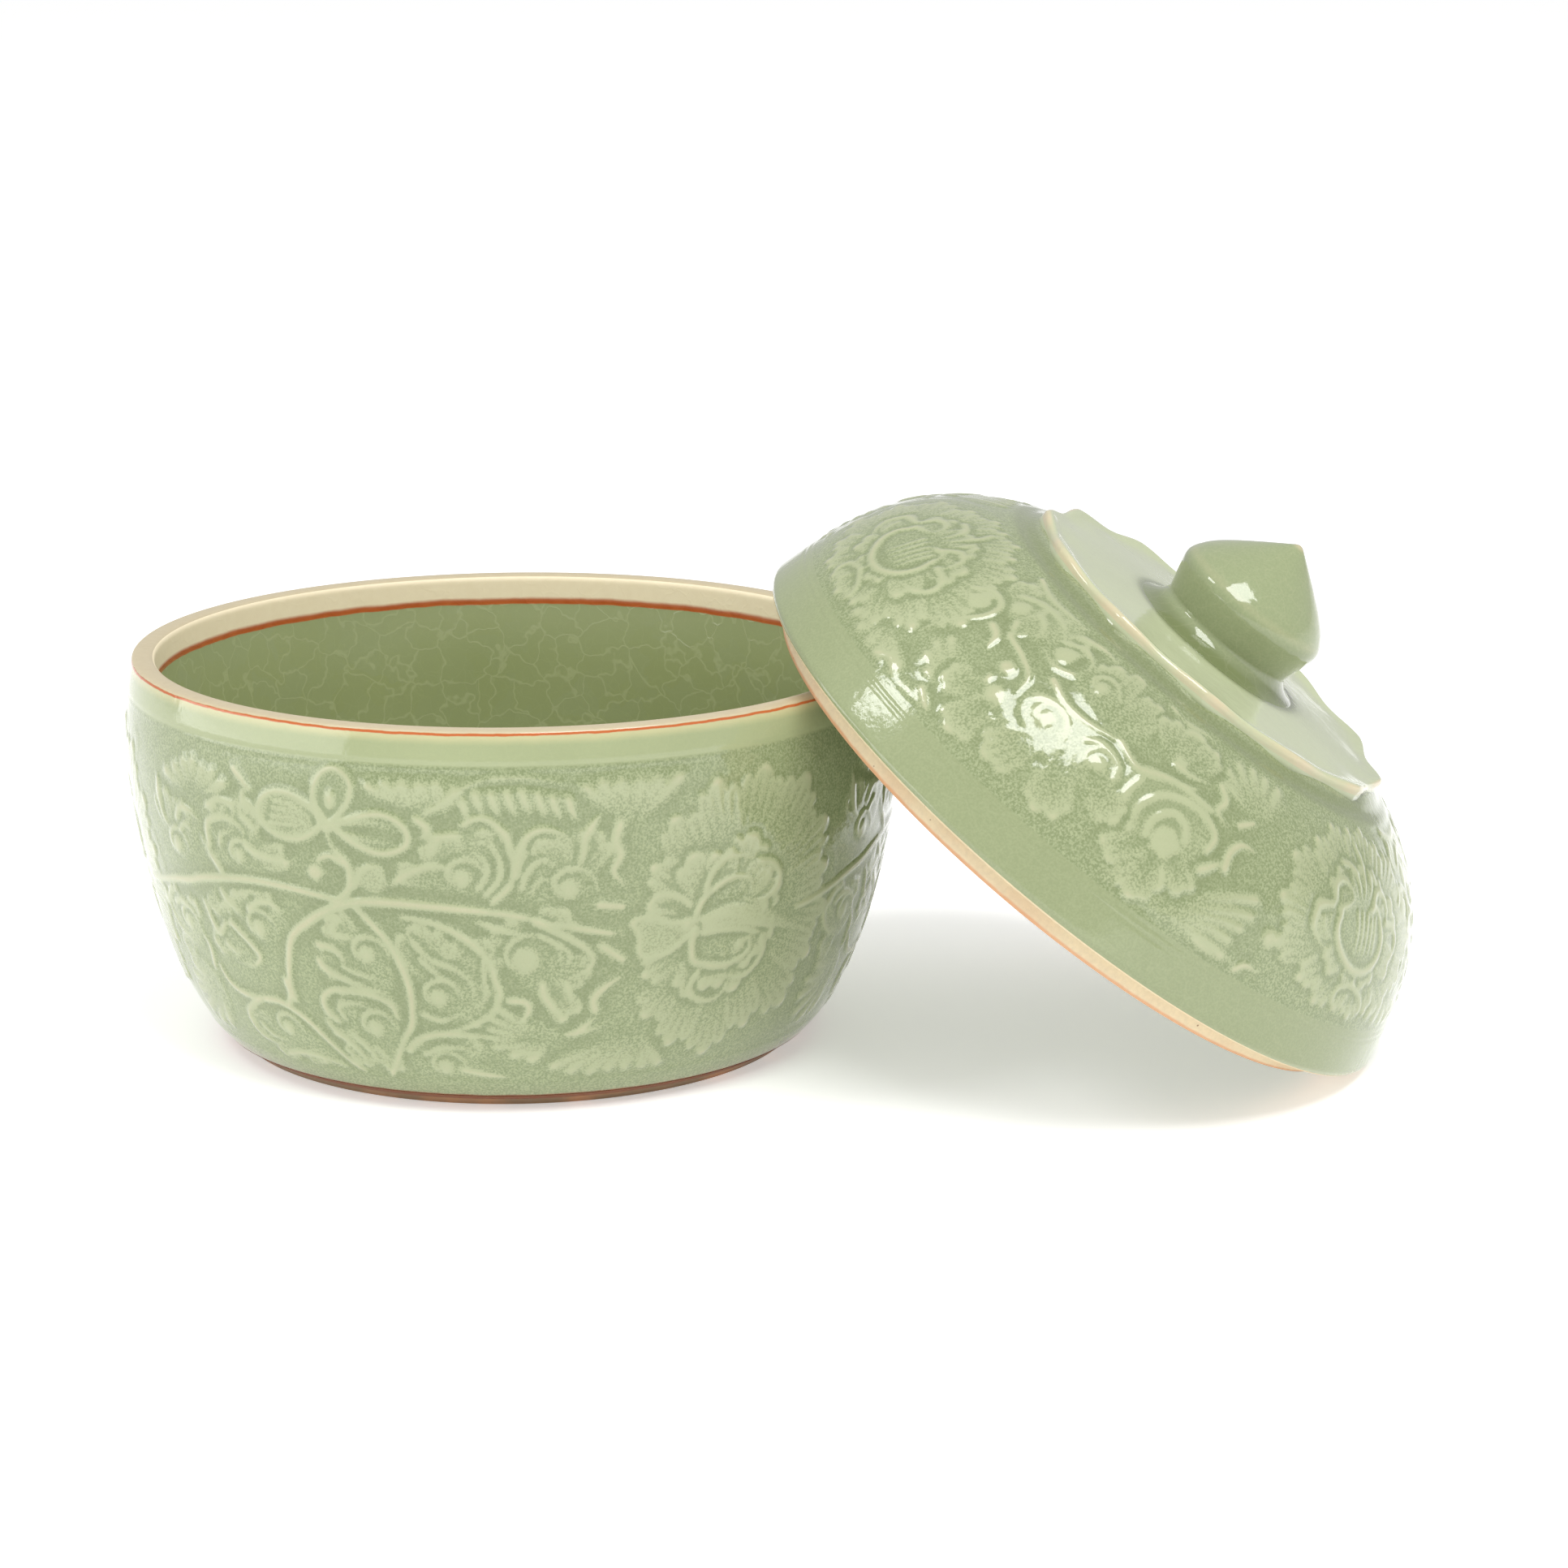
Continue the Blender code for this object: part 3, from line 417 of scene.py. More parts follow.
# ------------------------------------------------------------- lid carving
def carve_lid():
    c = Carving(-157.0, -37.0, 70.0, 1.32)
    L, F, B, R, N = c.line, c.fill, c.bulb, c.ring, c.fan
    # peony round (-36, 32)
    F([(-55,55.5),(-48,58.5),(-38,59),(-30,59.5),(-22,56),(-16,50),(-13,42),(-12,34),(-13,26),(-16,19),(-22,15),(-28,12.5),(-34,13.5),(-40,12.5),
       (-45,12),(-51,12.6),(-57,13.5),(-60,19),(-60,25),(-64,29),(-64,35),(-64.6,40),(-63.4,46),(-60,51)], h=0.42)
    c.H[:] = np.where(c.H > 0, c.H*0.6, c.H)
    ctr = (-36.5, 33)
    def reach(an):
        x, y = math.cos(math.radians(an)), math.sin(math.radians(an))
        return 1.0/math.hypot(x/(33.0), y/(26.5 if y > 0 else 20.5))
    for i in range(0, 18, 2):
        c.petal(ctr, i*20, 14.5, 9, reach(i*20), lobes=3, top=0.80, low=0.25)
    for i in range(1, 18, 2):
        c.petal(ctr, i*20, 13.0, 9, reach(i*20)*0.95, lobes=3, top=0.86, low=0.25)
    for i in range(9):
        c.petal(ctr, i*40 + 20, 21, 6, reach(i*40 + 20)*0.62, lobes=2, top=0.9, low=0.3, pitch=2.0)
    # heart: hollow oval with stamens
    for f in (0.0,):
        L([(-43.8,36),(-44.4,32),(-42.6,28),(-39,25),(-36,24.2),(-32.6,25.2),(-29.8,28.6),(-29,33),(-30,37)], w=1.1, h=1.05, t0=0.8, t1=0.8, cut=0.4)
    for x0, x1 in [(-38.4,-37.9),(-36.6,-36.4),(-34.8,-34.9),(-33.2,-33.4),(-31.8,-32)]:
        L([(x0,37.6),(x1,33),(x1-0.2,28.4)], w=0.62, h=0.95, cut=0.3, t1=0.5)
    L([(-46,38),(-46,42),(-43.5,43.8),(-41,42.5),(-39.8,40)], w=1.0, h=1.0, cut=0.35)
    L([(-43.6,48),(-40,47.6),(-38,44.5),(-37.4,41)], w=1.0, h=1.0, cut=0.35)
    L([(-37.8,53.4),(-36,50),(-35.6,45),(-36,41)], w=1.0, h=0.95, cut=0.3)
    L([(-33.6,48),(-33,44.4),(-34,41.6)], w=0.8, h=0.9, cut=0.3)
    L([(-33,39),(-31,43.4),(-28,43),(-26.8,39),(-28,36)], w=1.0, h=1.0, cut=0.35)
    L([(-44.6,36.6),(-41.5,38.6),(-40,40)], w=0.8, h=0.95); L([(-34,38.6),(-31.4,39.6),(-29.6,36.6)], w=0.8, h=0.95)
    L([(-46.5,37),(-50,35.5),(-51,32),(-49.6,28.6),(-45.5,26.2)], w=1.0, h=0.98, cut=0.3)
    L([(-27.5,36.5),(-24,36),(-22.2,33),(-23.4,29.4),(-28,27)], w=1.0, h=0.98, cut=0.3)
    L([(-48.4,33.6),(-47.4,30.6),(-44.8,29)], w=0.6, h=0.85, cut=0.2)
    B((-36,21.4), 1.1, h=1.1, ry=1.6)
    L([(-36,21),(-39.6,19.6),(-39.8,15.8),(-36.8,13.6)], w=0.8, h=0.95, cut=0.3); L([(-36,21),(-32,18.6),(-31,15.6),(-32.6,13.4)], w=0.8, h=0.95, cut=0.3)
    # the strip between peonies
    F([(-76,50),(-79,56),(-74,59.5),(-66,59.5),(-62,57),(-62,52),(-66,47),(-70,46)], h=0.5)
    N((-68,45), [(-78,50),(-78.4,54),(-76,58),(-72,59.6),(-68,59.4),(-63.6,58.6)], w=1.0, h=0.9, start=0.15)
    L([(-78,48),(-76,45),(-77,41.5),(-74,39.6)], w=1.3, h=0.92); L([(-72,41.6),(-69,44.6)], w=1.2, h=0.9, t1=0.7)
    L([(-71.6,30.6),(-71.8,34.6),(-70.2,37.8),(-67,38.2)], w=1.35, h=1.0)
    L([(-75.4,27),(-73,30.6)], w=1.4, h=0.92, t1=0.6)
    F([(-80,14),(-77,19),(-70,25),(-62.6,29.4),(-62.4,24),(-65,19),(-62,13.6),(-68,12.4),(-75,12.4)], h=0.5)
    N((-80.4,15.4), [(-63,29.4),(-62.6,25.2),(-63.4,21.4),(-64.4,17.6),(-64,13.6)], w=1.0, h=0.94, start=0.12, bend=0.03)
    L([(-62,12.6),(-60.4,14.8),(-57.6,14.4)], w=1.0, h=0.95); L([(-70.4,13.6),(-66.4,12.6)], w=1.0, h=0.9)
    B((-58.6,22.6), 2.0, h=0.95, ry=2.6)
    # curling leaf with the big bulb
    B((-82.4,27.4), 4.4, h=1.0, ry=4.0)
    L([(-79.6,30.4),(-81,33.6),(-83.6,34.4),(-85.6,31.6),(-86,27.6),(-84.8,22),(-83.4,16)], w=1.0, h=0.98, cut=0.35)
    L([(-75.8,31.6),(-75.4,35.6),(-78.4,38.4),(-83,38.6),(-87,36),(-89,31),(-88.6,26),(-87,20),(-86,13)], w=1.05, h=1.0, cut=0.35)
    L([(-91.4,36),(-92,31),(-90.6,27),(-89.8,22.4)], w=1.0, h=0.96, cut=0.3)
    L([(-78,40.6),(-84,41.2),(-90,40),(-94,37)], w=0.9, h=0.96)
    F([(-94,38),(-92,25),(-89,14),(-85,12),(-80,14),(-78,24),(-76,31),(-77,38.6),(-84,41)], h=0.5)
    L([(-80.4,22),(-79.4,18.4),(-81.6,15)], w=1.0, h=0.92); B((-90,22), 1.8, h=0.95)
    # ring leaf above
    R((-86.4,51.4), 3.7, 5.0, w=1.25, h=1.0, a0=-150, a1=150)
    L([(-90.6,47.6),(-88,45),(-84,45),(-80.6,46.4)], w=1.1, h=0.95, cut=0.3); L([(-92,50),(-91,47)], w=1.0, h=0.95)
    F([(-90.6,56.6),(-86,58),(-82,55),(-81.6,49),(-84,46),(-88,46),(-91.4,50)], h=0.5)
    L([(-95,58.6),(-90,57.6),(-84.6,58.8),(-81,57)], w=0.9, h=0.85)
    # leaves in the middle
    F([(-112,58),(-106,59.4),(-98,58.6),(-94.4,54),(-95,43),(-100,40),(-108,41),(-113,47)], h=0.3)
    for c0, an, hf, r1, lb in [((-103,38),112,26,21,3), ((-102,38),66,26,20,3), ((-104,39),90,15,21,1), ((-122,42),118,28,16,3), ((-121,42),66,26,15,3),
                               ((-133,43),112,28,14,3), ((-133,42),60,26,13,3), ((-88,43),120,26,15,2), ((-86,44),60,28,14,3)]:
        c.petal(c0, an, hf, 3.0, r1, lobes=lb, top=0.78, low=0.32, pitch=2.0)
    c.curl((-107.6,47.6), 2.4)
    B((-117,47.6), 3.0, h=1.0, ry=3.4); L([(-119.6,50),(-116,53),(-112.4,51),(-112,47)], w=0.95, h=0.96, cut=0.3)
    L([(-119,55.4),(-114,57.4),(-110,57.6)], w=1.1, h=0.92); L([(-112.6,45),(-116,43),(-120,44)], w=0.9, h=0.9)
    B((-131,47.4), 2.6, h=0.98, ry=3.0); L([(-134,50),(-130,53.6),(-124,53.6),(-120.6,51)], w=1.1, h=0.96, cut=0.3)
    L([(-139,58.4),(-132,56.6),(-126,57.4),(-120,58.6)], w=1.1, h=0.9); L([(-128,50.4),(-125,49),(-123,45.6)], w=1.0, h=0.92)
    F([(-138,57),(-128,58.6),(-120,58),(-119,50),(-123,44),(-129,43),(-135,46)], h=0.48)
    # curls under them
    B((-136,40.4), 3.6, h=1.0, ry=3.2); L([(-139.6,41),(-137,44.6),(-133,43.6),(-132,39),(-133.6,34),(-135,29),(-135.6,24)], w=1.05, h=1.0, cut=0.3)
    L([(-129.6,38.6),(-127,37.4),(-126,33.6)], w=1.3, h=0.97); L([(-128,44),(-126,41),(-124.6,43.6)], w=1.1, h=0.95)
    B((-120.6,34), 2.2, h=0.98); L([(-126,40),(-121,38.6),(-117,36),(-116,31)], w=1.0, h=0.98, cut=0.3)
    B((-118,26.6), 2.9, h=1.0, ry=3.2); L([(-121,29.6),(-119.6,23.6),(-115,22.6),(-112.6,26)], w=1.0, h=0.96, cut=0.3)
    # middle leaves under the tall ones
    L([(-114,40),(-109,37.6),(-104,38),(-98,40)], w=1.15, h=1.1); L([(-98,40),(-93,37.6),(-88,40),(-82,43)], w=1.0, h=1.05)
    c.curl((-109.6,31.6), 2.6); L([(-113.4,34),(-111,36),(-107,35),(-105.4,31)], w=0.95, h=0.96, cut=0.3)
    c.curl((-98.6,31.6), 2.5); L([(-102.6,34.4),(-99.6,36.4),(-95.6,34.6),(-95,30.6)], w=0.95, h=0.96, cut=0.3)
    F([(-114,36),(-104,38),(-95,36),(-94.4,28),(-100,24.6),(-108,25),(-114,29)], h=0.46)
    # lower row
    F([(-131,30),(-124,28),(-122,23),(-126,19),(-131,20),(-134,25)], h=0.48)
    N((-123,21), [(-131.6,29.4),(-132.6,26),(-132,22.4),(-129.4,19.6)], w=1.0, h=0.92, start=0.15)
    F([(-121,22),(-116,21),(-111,24),(-106,22),(-101,27),(-95,28.6),(-92,22),(-94,15),(-99,12.6),(-107,12.4),(-115,12.4),(-120,15)], h=0.28)
    for c0, an, hf, r1, lb in [((-118,28),-150,30,13,3), ((-117,28),-100,30,15,3), ((-116,28),-52,26,14,2), ((-106,31),-118,28,18,3), ((-104,31),-70,28,18,4),
                               ((-100,31),-30,26,15,3), ((-84,27),-128,26,13,2), ((-83,27),-88,26,15,3), ((-82,28),-40,26,12,2)]:
        c.petal(c0, an, hf, 3.0, r1, lobes=lb, top=0.78, low=0.32, pitch=2.0)
    B((-82.4,27.4), 3.4, h=1.0, ry=3.4); B((-118,27.4), 2.6, h=1.0)
    F([(-148,14),(-142,17),(-136.6,24),(-138,17),(-133,14.6),(-126,15.4),(-123,13),(-132,12.2),(-140,12)], h=0.48)
    N((-141,20.4), [(-147.6,14.4),(-143.6,12.6),(-139,12.2),(-135,12.8),(-131,14.6)], w=1.0, h=0.92, start=0.15)
    L([(-137,13.6),(-134.6,15.4),(-132,13.4)], w=1.1, h=1.0); L([(-126.6,16.4),(-123.4,14)], w=1.1, h=0.92, t1=0.6)
    return c

# ---------------------------------------------------------------- meshes
def make(name, verts, faces, M, loc, attrs, mats, mat_index=None, smooth=True):
    me = bpy.data.meshes.new(name)
    V = np.asarray(verts, float)
    R3 = np.array(M)[:3, :3]; T = np.array(M)[:3, 3]
    W = (V @ R3.T + T) * MM
    quads = np.asarray(faces, dtype=np.int32)
    me.vertices.add(len(W)); me.vertices.foreach_set("co", W.astype(np.float32).ravel())
    tri = quads[:, 3] < 0
    sizes = np.where(tri, 3, 4).astype(np.int32)
    flat = quads.ravel(); flat = flat[flat >= 0]
    starts = np.concatenate([[0], np.cumsum(sizes)[:-1]]).astype(np.int32)
    me.loops.add(len(flat)); me.loops.foreach_set("vertex_index", flat)
    me.polygons.add(len(quads)); me.polygons.foreach_set("loop_start", starts)
    try:
        me.polygons.foreach_set("loop_total", sizes)
    except Exception:
        pass
    if mat_index is not None:
        me.polygons.foreach_set("material_index", np.asarray(mat_index, np.int32))
    me.update(calc_edges=True); me.validate()
    if smooth:
        me.polygons.foreach_set("use_smooth", np.ones(len(me.polygons), bool))
    a = me.attributes.new("loc", "FLOAT_VECTOR", "POINT"); a.data.foreach_set("vector", np.asarray(loc, np.float32).ravel())
    for k, v in attrs.items():
        a = me.attributes.new(k, "FLOAT", "POINT"); a.data.foreach_set("value", np.asarray(v, np.float32).ravel())
    ob = bpy.data.objects.new(name, me)
    bpy.context.scene.collection.objects.link(ob)
    for m in mats:
        me.materials.append(m)
    return ob

def revolve(name, prof, M, ncol, mats, closed=False, disp=None, radial=None, lift=None, extra=None, row_mat=None):
    """Turn a profile (r, z) about Z.  disp[row, col] is a push along the
    outward normal in mm; radial[row, col] is added to the radius."""
    prof = np.asarray(prof, float); n = len(prof)
    th = np.arange(ncol) * 2*math.pi/ncol
    d = np.gradient(prof, axis=0)
    if closed:
        d = np.roll(prof, -1, 0) - np.roll(prof, 1, 0)
    nn = np.stack([d[:, 1], -d[:, 0]], 1); nn /= np.maximum(np.hypot(*nn.T), 1e-9)[:, None]
    r = np.repeat(prof[:, :1], ncol, 1); z = np.repeat(prof[:, 1:], ncol, 1)
    if disp is not None:
        r = r + disp*nn[:, :1]; z = z + disp*nn[:, 1:]
    if radial is not None:
        r = r + radial
    if lift is not None:
        z = z + lift
    X, Y = r*np.cos(th), r*np.sin(th)
    on_axis = prof[:, 0] < 1e-6
    idx = np.full((n, ncol), -1, int); verts = []; count = 0
    v = arc(prof); vv = []; ex = {k: [] for k in (extra or {})}
    for i in range(n):
        if on_axis[i]:
            idx[i, :] = count; verts.append([[0, 0, prof[i, 1]]]); vv.append([v[i]])
            for k in ex: ex[k].append([float(extra[k][i].mean())])
            count += 1
        else:
            idx[i] = count + np.arange(ncol); verts.append(np.stack([X[i], Y[i], z[i]], 1)); vv.append(np.full(ncol, v[i]))
            for k in ex: ex[k].append(extra[k][i])
            count += ncol
    verts = np.vstack(verts); vv = np.concatenate(vv)
    faces, mi = [], []
    rows = range(n if closed else n-1)
    for i in rows:
        j = (i+1) % n
        a, b = idx[i], idx[j]; a2, b2 = np.roll(a, -1), np.roll(b, -1)
        if on_axis[i] and on_axis[j]:
            continue
        if on_axis[i]:
            f = np.stack([a, b2, b, np.full(ncol, -1)], 1)
        elif on_axis[j]:
            f = np.stack([a, a2, b, np.full(ncol, -1)], 1)
        else:
            f = np.stack([a, a2, b2, b], 1)
        faces.append(f); mi.append(np.full(ncol, 0 if row_mat is None else row_mat[i]))
    return make(name, verts, np.vstack(faces), M, verts, dict({"v": vv}, **{k: np.concatenate(ex[k]) for k in ex}),
                mats, np.concatenate(mi))

# -------------------------------------------------------------- materials
def srgb(r, g, b):
    f = lambda c: (c/255/12.92) if c <= 10 else ((c/255+0.055)/1.055)**2.4
    return (f(r), f(g), f(b), 1.0)

class Mat:
    def __init__(self, name):
        self.m = bpy.data.materials.new(name); self.m.use_nodes = True
        self.t = self.m.node_tree; self.n = self.t.nodes; self.l = self.t.links
        self.n.clear()
        self.out = self.n.new("ShaderNodeOutputMaterial")
        self.b = self.n.new("ShaderNodeBsdfPrincipled")
        self.l.new(self.b.outputs[0], self.out.inputs[0])
    def put(self, sock, x):
        if hasattr(x, "default_value") or hasattr(x, "is_output"):
            self.l.new(x, sock)
        else:
            sock.default_value = x
    def attr(self, name, vec=False):
        a = self.n.new("ShaderNodeAttribute"); a.attribute_name = name
        return a.outputs["Vector"] if vec else a.outputs["Fac"]
    def math(self, op, a, b=0.0, c=0.0, clamp=False):
        n = self.n.new("ShaderNodeMath"); n.operation = op; n.use_clamp = clamp
        for i, x in enumerate((a, b, c)):
            self.put(n.inputs[i], x)
        return n.outputs[0]
    def step(self, x, a, b, lo=0.0, hi=1.0):
        n = self.n.new("ShaderNodeMapRange"); n.interpolation_type = "SMOOTHSTEP"
        self.put(n.inputs[0], x)
        for i, q in zip((1, 2, 3, 4), (a, b, lo, hi)):
            n.inputs[i].default_value = q
        return n.outputs[0]
    def lin(self, x, a, b, lo=0.0, hi=1.0):
        n = self.n.new("ShaderNodeMapRange"); self.put(n.inputs[0], x)
        for i, q in zip((1, 2, 3, 4), (a, b, lo, hi)):
            n.inputs[i].default_value = q
        return n.outputs[0]
    def mix(self, f, a, b, mode="MIX"):
        n = self.n.new("ShaderNodeMix"); n.data_type = "RGBA"; n.blend_type = mode
        self.put(n.inputs[0], f); self.put(n.inputs[6], a); self.put(n.inputs[7], b)
        return n.outputs[2]
    def noise(self, vec, scale, detail=2.0, rough=0.5, dim="3D"):
        n = self.n.new("ShaderNodeTexNoise"); n.noise_dimensions = dim
        self.put(n.inputs["Vector"], vec); n.inputs["Scale"].default_value = scale
        n.inputs["Detail"].default_value = detail; n.inputs["Roughness"].default_value = rough
        return n.outputs["Fac"]
    def band(self, x, c, w, soft):
        """1 inside c +- w, falling to 0 over soft."""
        d = self.math("ABSOLUTE", self.math("SUBTRACT", x, c))
        return self.step(d, w, w + soft, 1.0, 0.0)
    def bump(self, h, dist, strength=1.0):
        n = self.n.new("ShaderNodeBump"); n.inputs["Strength"].default_value = strength
        n.inputs["Distance"].default_value = dist
        self.put(n.inputs["Height"], h)
        self.l.new(n.outputs[0], self.b.inputs["Normal"])
    def crackle(self, loc, cell, width, wob=0.5):
        """Fine glaze crackle: 1 on the lines."""
        nz = self.n.new("ShaderNodeTexNoise"); self.put(nz.inputs["Vector"], loc); nz.inputs["Scale"].default_value = 0.22/cell*6
        nz.inputs["Detail"].default_value = 2.0
        s = self.n.new("ShaderNodeVectorMath"); s.operation = "SCALE"; self.l.new(nz.outputs["Color"], s.inputs[0]); s.inputs["Scale"].default_value = cell*wob
        a = self.n.new("ShaderNodeVectorMath"); a.operation = "ADD"; self.put(a.inputs[0], loc); self.l.new(s.outputs[0], a.inputs[1])
        v = self.n.new("ShaderNodeTexVoronoi"); v.feature = "DISTANCE_TO_EDGE"; self.l.new(a.outputs[0], v.inputs["Vector"])
        v.inputs["Scale"].default_value = 1.0/cell
        return self.step(v.outputs["Distance"], 0.0, width/cell, 1.0, 0.0), a.outputs[0]

DEEP, GROUND, MIDG, PLATE, CREAM = (srgb(112,122,82), srgb(130,141,103), srgb(154,163,125), srgb(166,172,136), srgb(180,178,145))
BAND, INNER, BARE, ORANGE, FOOT = (srgb(158,166,126), srgb(164,172,122), srgb(204,188,154), srgb(182,96,50), srgb(120,94,62))

def speckle(m, loc):
    a = m.noise(loc, 1.9, 2.0, 0.6)
    return m.lin(a, 0.40, 0.62)

def relief_colour(m, loc):
    """Glaze thins on the ridges and pools in the cut ground."""
    h, thin = m.attr("relief"), m.attr("thin")
    sp = speckle(m, loc)
    broad = m.lin(m.noise(loc, 0.045, 2.0), 0.3, 0.7)
    g = m.mix(m.math("MULTIPLY", m.step(thin, -0.02, -0.30), 0.55), m.mix(m.math("MULTIPLY", sp, 0.95), m.mix(0.25, GROUND, DEEP), MIDG), m.mix(0.4, DEEP, GROUND))
    p = m.mix(m.math("MULTIPLY", sp, 0.22), m.mix(m.step(thin, 0.20, 0.62), PLATE, CREAM), MIDG)
    c = m.mix(m.step(m.math("ADD", h, m.math("MULTIPLY", m.math("SUBTRACT", sp, 0.5), 0.22)), 0.12, 0.66), g, p)
    c = m.mix(m.math("MULTIPLY", m.math("MULTIPLY", m.step(thin, -0.02, -0.22), m.step(h, 0.12, 0.3)), 0.78), c, GROUND)
    return c, sp, broad

def glaze_out(name, band=BAND, v_line=None, v_plain=None, v_pool=None, foot=None):
    m = Mat(name); loc = m.attr("loc", True); v = m.attr("v")
    c, sp, broad = relief_colour(m, loc)
    if v_plain is not None:           # the uncarved band
        a, b, soft = v_plain
        f = m.math("MULTIPLY", m.step(v, a - soft, a + soft), m.step(v, b + 0.6, b + 1.0, 1.0, 0.0))
        bandc = m.mix(m.math("MULTIPLY", sp, 0.4), band, MIDG)
        c = m.mix(f, c, bandc)
    if v_pool is not None:            # pooled ring
        f = m.band(v, v_pool[0], v_pool[1], v_pool[2])
        c = m.mix(m.math("MULTIPLY", f, 0.62), c, DEEP)
    c = m.mix(m.math("MULTIPLY", m.math("SUBTRACT", 1.0, broad), 0.10), c, DEEP)
    crk, _ = m.crackle(loc, 5.0, 0.22)
    c = m.mix(m.math("MULTIPLY", crk, 0.10), c, PLATE)
    rough = 0.10
    if v_line is not None:            # thin fired line where the glaze stops
        wob = m.math("ADD", v, m.math("MULTIPLY", m.math("SUBTRACT", m.noise(loc, 0.25, 3.0), 0.5), 0.5))
        near = m.step(wob, v_line - 2.6, v_line - 0.3)
        c = m.mix(m.math("MULTIPLY", near, 0.55), c, srgb(206,196,150))
        c = m.mix(m.band(wob, v_line, 0.17, 0.25), c, ORANGE)
        past = m.step(wob, v_line + 0.25, v_line + 0.5)
        c = m.mix(past, c, m.mix(m.noise(loc, 0.6, 3.0), srgb(184,170,138), srgb(196,183,152)))
        rough = m.lin(past, 0, 1, 0.10, 0.55)
    if foot is not None:
        wob = m.math("ADD", v, m.math("MULTIPLY", m.math("SUBTRACT", m.noise(loc, 0.2, 2.0), 0.5), 0.7))
        c = m.mix(m.step(wob, foot + 1.0, foot + 0.1), c, srgb(128,72,34))
    m.put(m.b.inputs["Base Color"], c)
    m.put(m.b.inputs["Roughness"], rough)
    m.b.inputs["IOR"].default_value = 1.46
    m.b.inputs["Coat Weight"].default_value = 0.25; m.b.inputs["Coat Roughness"].default_value = 0.04
    m.bump(m.noise(loc, 0.5, 2.0), 0.00012, 0.6)
    return m.m

def glaze_in(name, v_line, up=True):
    """Inside glaze with large crackle; bare band beyond the line."""
    m = Mat(name); loc = m.attr("loc", True); v = m.attr("v")
    crk, dist = m.crackle(loc, 8.5, 0.42, 1.1)
    crk2, _ = m.crackle(loc, 4.2, 0.18, 0.6)
    cell = m.n.new("ShaderNodeTexVoronoi"); m.l.new(dist, cell.inputs["Vector"]); cell.inputs["Scale"].default_value = 1/9.0
    sep = m.n.new("ShaderNodeSeparateColor"); m.l.new(cell.outputs["Color"], sep.inputs[0])
    broad = m.lin(m.noise(loc, 0.02, 2.0), 0.3, 0.7)
    c = m.mix(m.lin(sep.outputs[0], 0, 1, 0.0, 0.5), m.mix(0.25, INNER, DEEP), MIDG)
    c = m.mix(m.math("MULTIPLY", broad, 0.35), c, srgb(132,142,94))
    c = m.mix(m.math("MULTIPLY", crk, 0.30), c, srgb(186,192,150))
    c = m.mix(m.math("MULTIPLY", crk2, 0.08), c, srgb(176,184,142))
    wob = m.math("ADD", v, m.math("MULTIPLY", m.math("SUBTRACT", m.noise(loc, 0.12, 3.0), 0.5), 0.8))
    # v falls going up the wall towards the rim line
    c = m.mix(m.math("MULTIPLY", m.step(v, v_line + 16, v_line + 1.0), 0.30), c, MIDG)
    line = m.math("MULTIPLY", m.step(wob, v_line + 0.9, v_line + 0.55), m.step(wob, v_line - 1.3, v_line - 0.2))
    bare = m.step(wob, v_line + 0.2, v_line - 0.3)
    bc = m.mix(m.noise(loc, 0.5, 3.0), srgb(232,217,184), srgb(240,227,196))
    c = m.mix(bare, c, bc)
    c = m.mix(line, c, m.mix(m.noise(loc, 0.3, 2.0), srgb(168,76,30), srgb(190,104,56)))
    m.put(m.b.inputs["Base Color"], c)
    m.put(m.b.inputs["Roughness"], m.lin(bare, 0, 1, 0.12, 0.6))
    m.b.inputs["IOR"].default_value = 1.5
    m.bump(crk, 0.00003, 0.5)
    return m.m

def bare_clay(name, base=BARE, flash=0.0, grit=0.5, lines=()):
    m = Mat(name); loc = m.attr("loc", True); v = m.attr("v")
    n = m.noise(loc, 0.9, 4.0, 0.65); broad = m.noise(loc, 0.08, 2.0)
    c = m.mix(m.lin(n, 0.3, 0.7), base, tuple(min(1, x*1.14) for x in base[:3]) + (1,))
    c = m.mix(m.math("MULTIPLY", m.step(broad, 0.42, 0.72), flash), c, srgb(196,132,84))
    sp = m.n.new("ShaderNodeTexVoronoi"); m.l.new(loc, sp.inputs["Vector"]); sp.inputs["Scale"].default_value = 0.22
    c = m.mix(m.math("MULTIPLY", m.step(sp.outputs["Distance"], 0.075, 0.03), grit), c, srgb(110,70,44))
    for at, w, soft, col, amt in lines:
        wob = m.math("ADD", v, m.math("MULTIPLY", m.math("SUBTRACT", m.noise(loc, 0.25, 3.0), 0.5), 0.5))
        c = m.mix(m.math("MULTIPLY", m.band(wob, at, w, soft), amt), c, col)
    m.put(m.b.inputs["Base Color"], c); m.put(m.b.inputs["Roughness"], m.lin(n, 0.3, 0.7, 0.52, 0.7))
    m.bump(n, 0.00008, 0.5)
    return m.m

